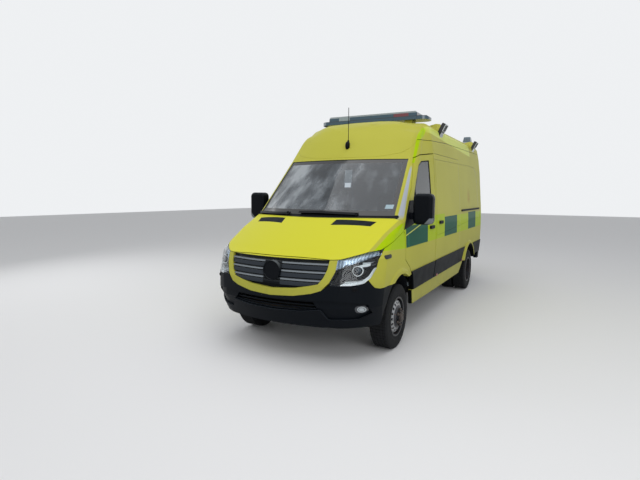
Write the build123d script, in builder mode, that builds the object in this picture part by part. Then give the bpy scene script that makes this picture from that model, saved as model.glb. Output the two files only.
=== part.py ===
"""High-roof panel-van ambulance with twin rear wheels.

Millimetres. The nose points to -Y, the vehicle's left side is +X and +Z is up. The origin is on
the ground under the middle of the vehicle. Places along the vehicle are written as stations:
the distance behind the front axle.
"""
from build123d import *
import os
from functools import cache
from math import radians, sin, cos

# Driving dimensions
LENGTH = 6050.0             # bumper nose to the rear edge of the rear step
FRONT_OVERHANG = 1020.0     # bumper nose to the front axle
WHEELBASE = 3665.0
BODY_END = 4860.0           # station of the rear doors' outer skin
ROOF_HEIGHT = 2615.0        # crown of the high roof
MIRROR_REACH = 1213.0       # half the width over the mirrors
WALL = 45.0                 # body shell: skin, frame and lining together
SEAM = 3.0                  # half of a fixed panel joint
DOOR_GAP = 11.0             # shut line round a door that swings
FIT = 0.4                   # fixed pieces that butt
GLASS = 5.0
GLASS_SET = 6.0             # how far the glass stands behind the skin

# Wheels
TYRE_RADIUS = 345.0
TYRE_WIDTH = 200.0
RIM_RADIUS = 203.0
FRONT_TRACK_HALF = 855.0
TWIN_SPACING = 226.0
REAR_TRACK_HALF = 775.0     # middle of the twin pair
KINGPIN_INSET = 40.0
ARCH_RADIUS = 465.0
FLARE_RADIUS = 590.0
FLARE_SHIFT = -20.0         # the flare sits a little ahead of the arch
FLARE_PROUD = 26.0

# Stations and heights of the side
DOOR_FRONT = 141.0
B_PILLAR = 1345.0           # rear edge of the front door
SLIDE_FRONT = 1378.0
SLIDE_END = 2850.0
BELT = 1405.0               # foot of the windscreen
GLASS_TOP = 2083.0
SILL_BOTTOM = 375.0
SILL_TOP = 553.0
DOOR_FOOT = SILL_TOP + 6.0
MOULDING_TOP = 785.0
MOULDING_PROUD = 12.0
FLOOR_TOP = 640.0
FLOOR_DEPTH = 40.0

FRONT_AXLE_Y = -LENGTH / 2 + FRONT_OVERHANG
FAR = 1400.0                # beyond the body, for cutters


def at(station):
    """Y of a station behind the front axle."""
    return FRONT_AXLE_Y + station


# Plan sections of the body, from the bumper's lower edge to above the roof. Columns: height,
# station of the nose, end of the front curve (half width, station), end of the corner (half
# width, station), half width at the B pillar, and how far back an inner skin stands per
# millimetre of wall where the front slopes.
PLAN = (
    (340.0, -900.0, 600.0, -800.0, 930.0, -430.0, 952.0, 1.0),
    (580.0, -1020.0, 660.0, -905.0, 972.0, -520.0, 966.0, 1.0),
    (800.0, -1008.0, 690.0, -885.0, 980.0, -480.0, 986.0, 1.0),
    (1028.0, -955.0, 700.0, -815.0, 975.0, -420.0, 991.0, 1.2),
    (1110.0, -797.0, 790.0, -624.0, 966.0, -300.0, 991.0, 2.0),
    (1250.0, -522.0, 850.0, -320.0, 962.0, -60.0, 989.0, 2.0),
    (BELT, -215.0, 885.0, 55.0, 955.0, 270.0, 981.0, 1.6),
    (GLASS_TOP, 550.0, 820.0, 712.0, 888.0, 900.0, 929.0, 1.4),
    (2330.0, 735.0, 775.0, 900.0, 848.0, 1110.0, 897.0, 1.3),
    (2480.0, 860.0, 735.0, 1030.0, 815.0, 1240.0, 866.0, 1.3),
    (2750.0, 1085.0, 665.0, 1265.0, 755.0, 1475.0, 803.0, 1.3),
)
CORNER_BULGE = 0.11         # sagitta of the front corner, as a share of its chord
REAR_CORNER = 70.0


@cache
def plan_section(row, wall):
    """One closed plan section of the body, moved inwards by a wall."""
    height, nose, bend_x, bend_s, turn_x, turn_s, side_x, lean = row
    nose_y = at(nose + wall * lean)
    bend = Vector(bend_x - wall * 0.45, at(bend_s + wall * lean * 0.85))
    turn = Vector(turn_x - wall, at(turn_s + wall * 0.3))
    side = side_x - wall
    end = at(BODY_END - wall)
    radius = REAR_CORNER - wall if wall < REAR_CORNER - 10 else 10.0
    chord = turn - bend
    bulge = Vector(chord.Y, -chord.X) * CORNER_BULGE
    middle = (bend + turn) * 0.5 + bulge
    with BuildSketch(Plane.XY.offset(height)) as section:
        with BuildLine():
            ThreePointArc((-bend.X, bend.Y), (0, nose_y), (bend.X, bend.Y))
            ThreePointArc((bend.X, bend.Y), (middle.X, middle.Y), (turn.X, turn.Y))
            Line((turn.X, turn.Y), (side, at(B_PILLAR)))
            Line((side, at(B_PILLAR)), (side, end - radius))
            RadiusArc((side, end - radius), (side - radius, end), -radius)
            Line((side - radius, end), (-side + radius, end))
            RadiusArc((-side + radius, end), (-side, end - radius), -radius)
            Line((-side, end - radius), (-side, at(B_PILLAR)))
            Line((-side, at(B_PILLAR)), (-turn.X, turn.Y))
            ThreePointArc((-turn.X, turn.Y), (-middle.X, middle.Y), (-bend.X, bend.Y))
        make_face()
    return section.sketch


CAP_START = (792.0, 2398.0)     # where the front cap turns into the roof
CAP_END = 1255.0                # station where the roof runs level
REAR_DROP = 45.0
ROOF_EDGE = (866.0, 2480.0)     # half width and height where the side turns into the roof
ROOF_SHOULDER = (745.0, 2586.0)


@cache
def lofted(wall, first=0, last=len(PLAN) - 1):
    """The loft through some of the plan sections, moved inwards by a wall."""
    with BuildPart() as form:
        for row in PLAN[first:last + 1]:
            add(plan_section(row, wall))
        loft(ruled=True)
    return form.part


@cache
def crowned(wall):
    """The whole body form: the loft under the curves of the roof."""
    top = ROOF_HEIGHT - wall
    with BuildPart() as form:
        add(lofted(wall))
        # Side view of the roof: front cap, level roof and rear edge
        with BuildSketch(Plane.YZ):
            with BuildLine():
                cap = (at(CAP_START[0] + wall * 0.8), CAP_START[1] - wall * 0.6)
                Polyline((at(-FAR), cap[1] - 500), (at(-FAR), -FAR), (at(BODY_END + FAR), -FAR),
                         (at(BODY_END + FAR), top - 60), (at(BODY_END), top - REAR_DROP),
                         (at(BODY_END - 260), top), (at(CAP_END), top))
                arc = TangentArc((at(CAP_END), top), cap, tangent=(-1, 0))
                Line(arc @ 1, (at(-FAR), cap[1] - 500))
            make_face()
        extrude(amount=FAR, both=True, mode=Mode.INTERSECT)
        # Front view of the roof: crown and rounded edges
        with BuildSketch(Plane.XZ):
            with BuildLine():
                edge = (ROOF_EDGE[0] - wall, ROOF_EDGE[1] - wall * 0.3)
                shoulder = (ROOF_SHOULDER[0] - wall * 0.4, ROOF_SHOULDER[1] - wall)
                ThreePointArc((-shoulder[0], shoulder[1]), (0, top), shoulder)
                bend = TangentArc(edge, shoulder, tangent=(-0.24, 1))
                Polyline(edge, (edge[0] + 300, edge[1] - 600), (FAR, -FAR), (-FAR, -FAR),
                         (-edge[0] - 300, edge[1] - 600), (-edge[0], edge[1]))
                mirror(bend, about=Plane.YZ)
            make_face()
        extrude(amount=LENGTH, both=True, mode=Mode.INTERSECT)
    return form.part


def side_block(points, x0=300.0, x1=FAR, radius=0.0):
    """A prism across the vehicle. Points are (station, height)."""
    with BuildPart() as block:
        with BuildSketch(Plane.YZ.offset(x0)) as outline:
            with BuildLine():
                Polyline(*[(at(s), z) for s, z in points], close=True)
            make_face()
            if radius:
                fillet(outline.vertices(), radius)
        extrude(amount=x1 - x0)
    return block.part


def front_block(points, s0=-FAR, s1=600.0, radius=0.0):
    """A prism along the vehicle between two stations. Points are (half width, height)."""
    with BuildPart() as block:
        with BuildSketch(Plane.XZ.offset(-at(s1))) as outline:
            with BuildLine():
                Polyline(*points, close=True)
            make_face()
            if radius:
                fillet(outline.vertices(), radius)
        extrude(amount=s1 - s0)
    return block.part


def box_between(x0, x1, s0, s1, z0, z1):
    """A plain block between two half widths, two stations and two heights."""
    with BuildPart() as block:
        with BuildSketch(Plane.XY.offset(z0)):
            with Locations(((x0 + x1) / 2, (at(s0) + at(s1)) / 2)):
                Rectangle(x1 - x0, s1 - s0)
        extrude(amount=z1 - z0)
    return block.part


def rod_x(station, height, radius, x0, x1):
    """A round bar across the vehicle."""
    with BuildPart() as bar:
        with BuildSketch(Plane.YZ.offset(x0)):
            with Locations((at(station), height)):
                Circle(radius)
        extrude(amount=x1 - x0)
    return bar.part


def rod_y(x, height, radius, s0, s1):
    """A round bar along the vehicle."""
    with BuildPart() as bar:
        with BuildSketch(Plane.XZ.offset(-at(s1))):
            with Locations((x, height)):
                Circle(radius)
        extrude(amount=s1 - s0)
    return bar.part


def upright_rod(x, station, radius, z0, z1):
    """A round bar standing upright."""
    with BuildPart() as bar:
        with BuildSketch(Plane.XY.offset(z0)):
            with Locations((x, at(station))):
                Circle(radius)
        extrude(amount=z1 - z0)
    return bar.part


def mirrored(part):
    """The same piece on the vehicle's other side."""
    return part.mirror(Plane.YZ)


def both_sides(part):
    """A piece of the left side with its copy on the right."""
    with BuildPart() as pair:
        add(part)
        add(mirrored(part))
    return pair.part


os.makedirs("parts", exist_ok=True)
NODES = []


def save(part, name):
    """Label a finished piece and write it."""
    part.label = name
    export_step(part, f"parts/{name}.step")
    NODES.append(name)


# Body shell
outer = crowned(0.0)
inner = crowned(WALL)
with BuildPart() as shell_maker:
    add(outer)
    add(inner, mode=Mode.SUBTRACT)
    # Open underside
    add(box_between(-FAR, FAR, -FAR, BODY_END + FAR, 0, SILL_BOTTOM - 3), mode=Mode.SUBTRACT)
shell = shell_maker.part

# Outlines of the left side, points as (station, height)
ROOF_SEAM = ((-FAR, 2100.0), (600.0, 2100.0), (720.0, 2150.0), (960.0, 2325.0), (2150.0, 2390.0),
             (4290.0, 2428.0), (4700.0, 2433.0), (4700.0, 2345.0), (BODY_END + 200, 2345.0))
HOOD_FOOT = ((-FAR, 1047.0), (-900.0, 1045.0), (-850.0, 1033.0), (-815.0, 1037.0), (-719.0, 1066.0),
             (-596.0, 1096.0), (-455.0, 1112.0), (90.0, 1257.0))
HOOD_REAR = ((0.0, -249.0), (886.0, 20.0), (960.0, 90.0))   # the hood's rear edge in plan, left half
FENDER_FOOT = 750.0
DOOR_OUTLINE = ((470.0, DOOR_FOOT), (395.0, 735.0), (290.0, 845.0), (DOOR_FRONT, 945.0),
                (DOOR_FRONT, 1225.0), (98.0, 1262.0), (195.0, 1420.0), (350.0, 1593.0),
                (470.0, 1712.0), (745.0, 2078.0), (880.0, 2122.0), (B_PILLAR, 2172.0),
                (B_PILLAR, DOOR_FOOT))
WINDOW_OUTLINE = ((500.0, 1425.0), (500.0, 1605.0), (790.0, 2000.0), (905.0, 2055.0),
                  (1175.0, 2082.0), (1190.0, 1425.0))


def moved_out(points, gap):
    """An outline of straight runs, grown by a gap all round."""
    with BuildSketch() as grown:
        with BuildLine():
            Polyline(*points, close=True)
        make_face()
        offset(amount=gap, kind=Kind.INTERSECTION)
    edges = grown.sketch.faces()[0].outer_wire().order_edges()
    return [((edge @ 0).X, (edge @ 0).Y) for edge in edges]


def kept(whole, *blocks):
    """What of a form lies inside every block."""
    with BuildPart() as piece:
        add(whole)
        for block in blocks:
            add(block, mode=Mode.INTERSECT)
    return piece.part


def less(whole, *blocks):
    """A form with the blocks cut away."""
    with BuildPart() as piece:
        add(whole)
        for block in blocks:
            add(block, mode=Mode.SUBTRACT)
    return piece.part


roof_region = side_block((*ROOF_SEAM, (BODY_END + 200, 3000.0), (-FAR, 3000.0)), -FAR, FAR)
below_roof = less(shell, side_block((*[(s, z - 2 * SEAM) for s, z in ROOF_SEAM],
                                     (BODY_END + 200, 3000.0), (-FAR, 3000.0)), -FAR, FAR))
LIGHT_BAR = (1600.0, 2652.0, 2762.0, 800.0, 290.0)     # station, bottom, top, half length, depth
BEACON = (4500.0, 730.0, 2645.0, 2745.0)               # station, half width, bottom, top
ANTENNA = (20.0, 670.0, 2277.0, 2722.0)                # half width, station, foot, tip
ANTENNA_BASE = (22.0, 46.0, 9.0)        # foot radius, height, radius under the whip
PILLAR_SEAM = (1358.0, 1364.0, 4.0)                    # stations and depth of the seam over the B pillar
with BuildPart() as roof:
    add(kept(shell, roof_region))
    for side in (-1, 1):
        foot = box_between(side * 520 - 50, side * 520 + 50, LIGHT_BAR[0] - 90, LIGHT_BAR[0] + 90,
                           2590, LIGHT_BAR[1])
        add(less(foot, inner))
        seat_x = side * BEACON[1]
        seat = box_between(seat_x - 75, seat_x + 75, BEACON[0] - 75, BEACON[0] + 75, 2560, BEACON[2])
        add(less(seat, inner))
    add(less(upright_rod(ANTENNA[0], ANTENNA[1], ANTENNA_BASE[0] - 4, ANTENNA[2] - 60, ANTENNA[2]), inner))
    pillar_band = box_between(640, FAR, PILLAR_SEAM[0], PILLAR_SEAM[1], 2100, 2570)
    pillar_seam = less(kept(outer, pillar_band), crowned(PILLAR_SEAM[2]))
    add(pillar_seam, mode=Mode.SUBTRACT)
    add(mirrored(pillar_seam), mode=Mode.SUBTRACT)
save(roof.part, "roof")

# Cab: the shell ahead of the B pillar, left half, then its pieces
left_half = box_between(0, FAR, -FAR, BODY_END + FAR, 0, 3000)
arch_front = rod_x(0, TYRE_RADIUS, ARCH_RADIUS, 520, FAR)
arch_rear = rod_x(WHEELBASE, TYRE_RADIUS, ARCH_RADIUS, 520, FAR)


def hood_block(gap):
    """The space of the hood, grown downwards and rearwards by a gap."""
    with BuildPart() as block:
        with BuildSketch(Plane.XY.offset(900)):
            with BuildLine():
                middle, bend, end = [(x, at(s + gap)) for x, s in HOOD_REAR]
                arc = ThreePointArc((-bend[0], bend[1]), middle, bend)
                Polyline(arc @ 1, end, (FAR, end[1]), (FAR, at(-FAR)), (-FAR, at(-FAR)), (-FAR, end[1]),
                         (-end[0], end[1]), arc @ 0)
            make_face()
        extrude(amount=800)
        foot = [(s, z - gap) for s, z in HOOD_FOOT]
        reach = (foot[-1][0] + 300, foot[-1][1] + 80)
        add(side_block((*foot, reach, (reach[0], FAR + 600), (-FAR, FAR + 600)), -FAR, FAR),
            mode=Mode.INTERSECT)
    return block.part


# Bonnet with two air intakes, each a tray of slats under the skin
VENT = ((305.0, -352.0), (712.0, -236.0), (742.0, -128.0), (322.0, -240.0))     # half width, station
VENT_DEPTH = 17.0
VENT_SLATS = 4


def plan_block(points, z0, z1):
    """A prism standing on a plan outline. Points are (half width, station)."""
    with BuildPart() as block:
        with BuildSketch(Plane.XY.offset(z0)):
            with BuildLine():
                Polyline(*[(x, at(s)) for x, s in points], close=True)
            make_face()
        extrude(amount=z1 - z0)
    return block.part


def between(points, share0, share1):
    """A strip of a four-cornered outline, from one share of its depth to another."""
    (a, b, c, d) = points
    front = [(p[0] + (q[0] - p[0]) * share0, p[1] + (q[1] - p[1]) * share0) for p, q in ((a, d), (b, c))]
    back = [(p[0] + (q[0] - p[0]) * share1, p[1] + (q[1] - p[1]) * share1) for p, q in ((a, d), (b, c))]
    return (front[0], front[1], back[1], back[0])


vent_block = plan_block(VENT, 1200, 1500)
hood_skin = lofted(0.0, 4, 7)
vent_pocket = kept(less(hood_skin, lofted(VENT_DEPTH, 4, 7)), vent_block)
with BuildPart() as bonnet:
    add(kept(below_roof, hood_block(0.0)))
    add(vent_pocket, mode=Mode.SUBTRACT)
    add(mirrored(vent_pocket), mode=Mode.SUBTRACT)
save(bonnet.part, "bonnet")
with BuildPart() as vent_slats:
    add(kept(less(lofted(3.0, 4, 7), lofted(VENT_DEPTH, 4, 7)), vent_block))
    slot = 1.0 / (2 * VENT_SLATS + 1)
    for k in range(VENT_SLATS):
        gap = plan_block(between(VENT, slot * (2 * k + 1), slot * (2 * k + 2)), 1200, 1500)
        add(kept(less(hood_skin, lofted(VENT_DEPTH - 4, 4, 7)), gap), mode=Mode.SUBTRACT)
save(both_sides(vent_slats.part), "bonnet_vents")
hood_clear = hood_block(2 * SEAM)

SURROUND = ((0.0, 668.0), (250.0, 682.0), (430.0, 716.0), (520.0, 748.0), (590.0, 826.0),
            (632.0, 925.0), (641.0, 1060.0))
GRILLE_HOLE = ((0.0, 738.0), (250.0, 756.0), (400.0, 786.0), (488.0, 806.0), (532.0, 868.0),
               (560.0, 945.0), (570.0, 1030.0))
HEADLIGHT = ((642.0, 1050.0), (839.0, 1120.0), (938.0, 1130.0), (938.0, 1060.0), (929.0, 948.0),
             (903.0, 862.0), (862.0, 815.0), (775.0, 801.0), (604.0, 803.0), (592.0, 827.0), (633.0, 925.0))
BUMPER_TOP = ((0.0, 668.0 - FIT), (250.0, 682.0 - FIT), (430.0, 716.0 - FIT), (520.0 + FIT, 748.0 - FIT),
              (590.0 + FIT, 802.0), (775.0, 801.0 - FIT), (862.0, 815.0 - FIT), (890.0, 845.0 - 4 * FIT),
              (932.0, 766.0), (960.0, FENDER_FOOT - FIT), (FAR, FENDER_FOOT - FIT))
BUMPER_FOOT = 372.0


def across(points):
    """A half outline and its reflection, as one closed outline."""
    return [*points, *[(-x, z) for x, z in reversed(points) if x > 0]]


BUMPER_WALL = 60.0
nose_skin = kept(less(lofted(0.0, 0, 4), lofted(BUMPER_WALL, 0, 4)),
                 side_block(((-FAR, BUMPER_FOOT), (FAR / 5, BUMPER_FOOT), (FAR / 5, 1109), (-FAR, 1109)),
                            -FAR, FAR))
surround_block = front_block(across(SURROUND), s1=-300)
hole_block = front_block(across(GRILLE_HOLE), s1=-300)
grille_surround = less(kept(nose_skin, surround_block), hole_block, hood_clear)
save(grille_surround, "grille_surround")

# Grille: three double louvres on a mesh panel, with a plain round pad
LOUVRE_TOPS = (995.0, 918.0, 841.0)
LOUVRE = ((-15.0, 0.0), (-62.0, -26.0))     # the two blades, below the louvre's top
PAD = (905.0, 97.0)                         # height and radius
slat_band = less(lofted(10.0, 1, 4), lofted(38.0, 1, 4))
mesh_band = less(lofted(36.0, 1, 4), lofted(44.0, 1, 4))
with BuildPart() as grille:
    add(slat_band)
    slats = [box_between(-FAR, FAR, -FAR, -300, top + low, top + high)
             for top in LOUVRE_TOPS for low, high in LOUVRE]
    with BuildPart(mode=Mode.PRIVATE) as slat_stack:
        for slat in slats:
            add(slat)
    add(slat_stack.part, mode=Mode.INTERSECT)
    add(mesh_band)
    add(hole_block, mode=Mode.INTERSECT)
    add(rod_y(0, PAD[0], PAD[1], -996, -930))
    add(rod_y(0, PAD[0], PAD[1] - 9, -FAR, -990), mode=Mode.SUBTRACT)
save(grille.part, "grille")

# Headlights: a dark bucket behind a clear lens
LENS = 4.0
headlight_block = front_block(HEADLIGHT, s1=-250, radius=14)
lens = less(kept(less(lofted(0.0, 1, 5), lofted(LENS, 1, 5)), headlight_block), hood_clear)
save(both_sides(lens), "headlight_lenses")
bucket_hollow = front_block([(775 + (x - 775) * 0.95, 930 + (z - 930) * 0.94)
                             for x, z in HEADLIGHT], s1=-250, radius=6)
UPPER_REFLECTOR = ((636.0, 930.0), (660.0, 925.0), (700.0, 985.0), (770.0, 1012.0), (850.0, 1040.0),
                   (925.0, 1062.0), (925.0, 1130.0), (636.0, 1130.0))
LIGHT_STRIP = ((700.0, 803.0), (775.0, 805.0), (858.0, 819.0), (898.0, 866.0), (924.0, 950.0),
               (908.0, 948.0), (882.0, 882.0), (846.0, 840.0), (775.0, 824.0), (700.0, 818.0))
PROJECTOR = (796.0, 928.0, 50.0)        # half width, height, radius
PROJECTOR_ENDS = (-735.0, -640.0)
BROW = ((800.0, 975.0), (900.0, 1000.0), (896.0, 978.0), (842.0, 958.0))
PROJECTOR_SET = 12.0                    # how far it stands behind the skin
with BuildPart() as projector:
    add(rod_y(*PROJECTOR, *PROJECTOR_ENDS))
    add(rod_y(PROJECTOR[0], PROJECTOR[1], PROJECTOR[2] - 8, PROJECTOR_ENDS[0] - 40, PROJECTOR_ENDS[0] + 26),
        mode=Mode.SUBTRACT)
    with Locations((PROJECTOR[0], at(PROJECTOR_ENDS[0] + 34), PROJECTOR[1])):
        Sphere(34)
with BuildPart() as bucket:
    add(kept(less(lofted(LENS, 1, 5), lofted(100.0, 1, 5)), headlight_block))
    add(kept(less(lofted(LENS, 1, 5), lofted(85.0, 1, 5)), bucket_hollow), mode=Mode.SUBTRACT)
    add(kept(less(lofted(24.0, 1, 5), lofted(92.0, 1, 5)), headlight_block,
             front_block(UPPER_REFLECTOR, s1=-250)))
    add(kept(less(lofted(14.0, 1, 5), lofted(92.0, 1, 5)), headlight_block,
             front_block(LIGHT_STRIP, s1=-250)))
    add(kept(less(lofted(34.0, 1, 5), lofted(92.0, 1, 5)), front_block(BROW, s1=-250)))
    add(kept(projector.part, lofted(PROJECTOR_SET, 1, 5)))
    add(hood_clear, mode=Mode.SUBTRACT)
CAPSULE = (-387.0, 1038.0, 150.0, 38.0)     # station, height, length, height of the side lamp
with BuildPart() as capsule_maker:
    with BuildSketch(Plane.YZ.offset(900)):
        with Locations((at(CAPSULE[0]), CAPSULE[1])):
            SlotOverall(CAPSULE[2], CAPSULE[3])
    extrude(amount=200)
capsule_block = capsule_maker.part
capsule = kept(less(lofted(-6.0, 2, 5), lofted(30.0, 2, 5)), capsule_block)
with BuildPart() as lamp_housings:
    add(bucket.part)
    add(capsule)
save(both_sides(lamp_housings.part), "headlight_housings")

# Bumper
bumper_region = front_block(((0, 0), *BUMPER_TOP, (FAR, 0)), s1=-100)
bumper_clear = front_block(((0, 0), *[(x, z + FIT) for x, z in BUMPER_TOP], (FAR, 0)), s1=-100)
half_bumper = less(kept(nose_skin, bumper_region, left_half), arch_front)
RECESS = ((0.0, 640.0), (330.0, 648.0), (640.0, 655.0), (790.0, 640.0), (896.0, 612.0), (912.0, 520.0),
          (800.0, 464.0), (562.0, 462.0), (508.0, 562.0), (300.0, 534.0), (0.0, 524.0))
RECESS_DEPTH = 24.0
INTAKE = ((0.0, 540.0), (300.0, 550.0), (478.0, 574.0), (440.0, 632.0), (0.0, 628.0))
INTAKE_BARS = (566.0, 598.0)
FOG_PLACE = (838.0, 562.0)
FOG_SIZE = (46.0, 40.0, 34.0)           # half width, half height, corner radius
fog_bore = front_block([(FOG_PLACE[0] - FOG_SIZE[0], FOG_PLACE[1] - FOG_SIZE[1]),
                        (FOG_PLACE[0] + FOG_SIZE[0], FOG_PLACE[1] - FOG_SIZE[1]),
                        (FOG_PLACE[0] + FOG_SIZE[0], FOG_PLACE[1] + FOG_SIZE[1]),
                        (FOG_PLACE[0] - FOG_SIZE[0], FOG_PLACE[1] + FOG_SIZE[1])],
                       s1=-300, radius=FOG_SIZE[2])
fog_shell = less(lofted(RECESS_DEPTH + 4, 0, 3), lofted(RECESS_DEPTH + 32, 0, 3))
with BuildPart() as bumper:
    add(half_bumper)
    add(mirrored(half_bumper))
    add(kept(less(lofted(-2.0, 0, 3), lofted(RECESS_DEPTH, 0, 3)), front_block(across(RECESS), s1=-400)),
        mode=Mode.SUBTRACT)
    add(front_block(across(INTAKE), s1=-500), mode=Mode.SUBTRACT)
    for height in INTAKE_BARS:
        add(kept(less(lofted(RECESS_DEPTH + 16, 0, 3), lofted(BUMPER_WALL, 0, 3)),
                 box_between(-500, 500, -FAR, -500, height - 5, height + 5)))
    for block in (fog_bore, mirrored(fog_bore)):
        add(block, mode=Mode.SUBTRACT)
save(bumper.part, "front_bumper")
save(both_sides(kept(fog_shell, fog_bore)), "fog_lamps")

# Fenders
with BuildPart() as flare_maker:
    for x, radius in ((955.0, FLARE_RADIUS), (968.0 + FLARE_PROUD, ARCH_RADIUS + 35)):
        with BuildSketch(Plane.YZ.offset(x)):
            with Locations((at(FLARE_SHIFT), TYRE_RADIUS)):
                Circle(radius)
    loft(ruled=True)
flare_front = flare_maker.part
door_cut = side_block(moved_out(DOOR_OUTLINE, DOOR_GAP))
fender_range = side_block(((-FAR, FENDER_FOOT), (-FAR, 1264), (DOOR_FRONT, 1264), (600, FENDER_FOOT)),
                          x0=840)
with BuildPart() as fender:
    add(kept(below_roof, left_half))
    add(flare_front)
    add(inner, mode=Mode.SUBTRACT)
    add(fender_range, mode=Mode.INTERSECT)
    for block in (hood_clear, door_cut, headlight_block, surround_block, arch_front, capsule_block,
                  bumper_clear):
        add(block, mode=Mode.SUBTRACT)
save(both_sides(fender.part), "fenders")

# Cab frame: pillars, cant rails, windscreen header and scuttle
WINDSCREEN = ((868.0, 1419.0), (802.0, 2070.0))
screen_block = front_block(across(WINDSCREEN), s1=1100)
cab_region = side_block(((-FAR, 1330), (20, 1330), (20, 1270), (SLIDE_FRONT - 2 * SEAM, 1270),
                         (SLIDE_FRONT - 2 * SEAM, 3000), (-FAR, 3000)))
b_strip = side_block(((B_PILLAR + DOOR_GAP, DOOR_FOOT), (SLIDE_FRONT - 2 * SEAM, DOOR_FOOT),
                      (SLIDE_FRONT - 2 * SEAM, 1271), (B_PILLAR + DOOR_GAP, 1271)))
half_below = kept(below_roof, left_half)
with BuildPart() as half_cab:
    add(kept(half_below, cab_region))
    add(kept(half_below, b_strip))
    for block in (door_cut, hood_clear, screen_block):
        add(block, mode=Mode.SUBTRACT)
middle_strip = less(kept(below_roof, box_between(-301, 301, -FAR, 1100, 1330, 3000)), screen_block,
                    hood_clear)
with BuildPart() as cab_frame:
    add(half_cab.part)
    add(mirrored(half_cab.part))
    add(middle_strip)
save(cab_frame.part, "cab_frame")
glass_band = less(lofted(GLASS_SET, 5, 8), lofted(GLASS_SET + GLASS, 5, 8))
save(kept(glass_band, screen_block), "windscreen")

# Front doors
window_block = side_block(WINDOW_OUTLINE)
door_block = side_block(DOOR_OUTLINE)
front_door = less(kept(half_below, door_block), window_block, arch_front)
SEAL = (14.0, 1.0, 17.0)             # width, front and back of the window rubber behind the skin
DIVIDER = (578.0, 600.0)            # stations of the bar in the side window
pane_block = side_block(moved_out(WINDOW_OUTLINE, -SEAL[0]))
divider_block = side_block(((DIVIDER[0], 1400), (DIVIDER[1], 1400), (DIVIDER[1], 2100), (DIVIDER[0], 2100)))
door_glass = less(kept(glass_band, pane_block, left_half), divider_block)
seal_band = less(lofted(SEAL[1], 5, 8), lofted(SEAL[2], 5, 8))
window_seal = kept(seal_band, less(window_block, less(pane_block, divider_block)), left_half)
moulding_band = less(lofted(-MOULDING_PROUD, 0, 3), lofted(0.0, 0, 3))
TRIANGLE = ((108.0, 1270.0), (200.0, 1415.0), (350.0, 1582.0), (480.0, 1585.0), (470.0, 1324.0))
triangle_band = less(lofted(-5.0, 4, 7), lofted(0.0, 4, 7))
moulding_height = side_block(((-FAR, DOOR_FOOT), (BODY_END + 100, DOOR_FOOT),
                              (BODY_END + 100, MOULDING_TOP), (-FAR, MOULDING_TOP)))
HANDLE = (1146.0, 1241.0)
HANDLE_SIZE = (170.0, 42.0, 32.0)


def handle_at(station, height, skin):
    """A grab handle on the side, standing out of the skin."""
    with BuildPart() as handle:
        with BuildSketch(Plane.YZ.offset(skin)):
            with Locations((at(station), height)):
                RectangleRounded(HANDLE_SIZE[0], HANDLE_SIZE[1], 18)
        extrude(amount=HANDLE_SIZE[2])
        with BuildSketch(Plane.YZ.offset(skin)):
            with Locations((at(station), height)):
                Rectangle(HANDLE_SIZE[0] * 0.62, HANDLE_SIZE[1] + 2)
        extrude(amount=HANDLE_SIZE[2] * 0.55, mode=Mode.SUBTRACT)
    return handle.part


body_side = lofted(0.0, 3, 6)
with BuildPart() as door_trim:
    add(kept(moulding_band, door_block, moulding_height))
    add(kept(triangle_band, side_block(TRIANGLE)))
    add(less(handle_at(*HANDLE, 975.0), body_side))
    add(window_seal)
MIRROR = (330.0, 1490.0)            # station and height of the head's centre
MIRROR_SIZE = (215.0, 340.0, 125.0)
with BuildPart() as door_mirror:
    with BuildSketch(Plane.XZ.offset(-at(MIRROR[0] + MIRROR_SIZE[2] / 2))):
        with Locations((MIRROR_REACH - MIRROR_SIZE[0] / 2, MIRROR[1])):
            RectangleRounded(MIRROR_SIZE[0], MIRROR_SIZE[1], 55)
    extrude(amount=MIRROR_SIZE[2])
    fillet(door_mirror.faces().sort_by(Axis.Y)[0].edges(), 38)
    with BuildSketch(Plane.XZ.offset(-at(MIRROR[0] + MIRROR_SIZE[2] / 2))):
        with Locations((MIRROR_REACH - MIRROR_SIZE[0] / 2, MIRROR[1] + 24)):
            RectangleRounded(MIRROR_SIZE[0] - 34, MIRROR_SIZE[1] - 82, 38)
        with Locations((MIRROR_REACH - MIRROR_SIZE[0] / 2, MIRROR[1] - 136)):
            RectangleRounded(MIRROR_SIZE[0] - 50, 42, 18)
    extrude(amount=9, mode=Mode.SUBTRACT)
    add(less(box_between(930, MIRROR_REACH - MIRROR_SIZE[0] + 30, 300, 370, 1375, 1450),
             lofted(-5.0, 4, 8)))
for side, turned in (("left", lambda part: part), ("right", mirrored)):
    save(turned(front_door), f"front_door_{side}")
    save(turned(door_glass), f"door_glass_{side}")
    save(turned(door_trim.part), f"door_trim_{side}")
    save(turned(door_mirror.part), f"door_mirror_{side}")

# Load space: sliding doors, side panels, hoops. A pressed line runs round the panel
PRESSED_LINE = ((1424.0, 1112.0), (1424.0, 2114.0), (3840.0, 2157.0), (4180.0, 2146.0), (4330.0, 2080.0),
                (4412.0, 1900.0), (4470.0, 1560.0), (4484.0, 1238.0))
PRESSED = (9.0, 4.0)                # width and depth
line_block = less(side_block(PRESSED_LINE), side_block(moved_out(PRESSED_LINE, -PRESSED[0])))
pressed_line = kept(less(lofted(-1.0, 3, 8), lofted(PRESSED[1], 3, 8)), line_block)
SLIDE_TOP = (2184.0, 2196.0)
slide_outline = ((SLIDE_FRONT, DOOR_FOOT), (SLIDE_FRONT, SLIDE_TOP[0]), (SLIDE_END, SLIDE_TOP[1]),
                 (SLIDE_END, DOOR_FOOT))
sliding_door = less(kept(half_below, side_block(slide_outline)), pressed_line)
save(both_sides(sliding_door), "sliding_doors")
REAR_DOOR = (778.0, 562.0, 2332.0)      # half width, bottom, top
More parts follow.
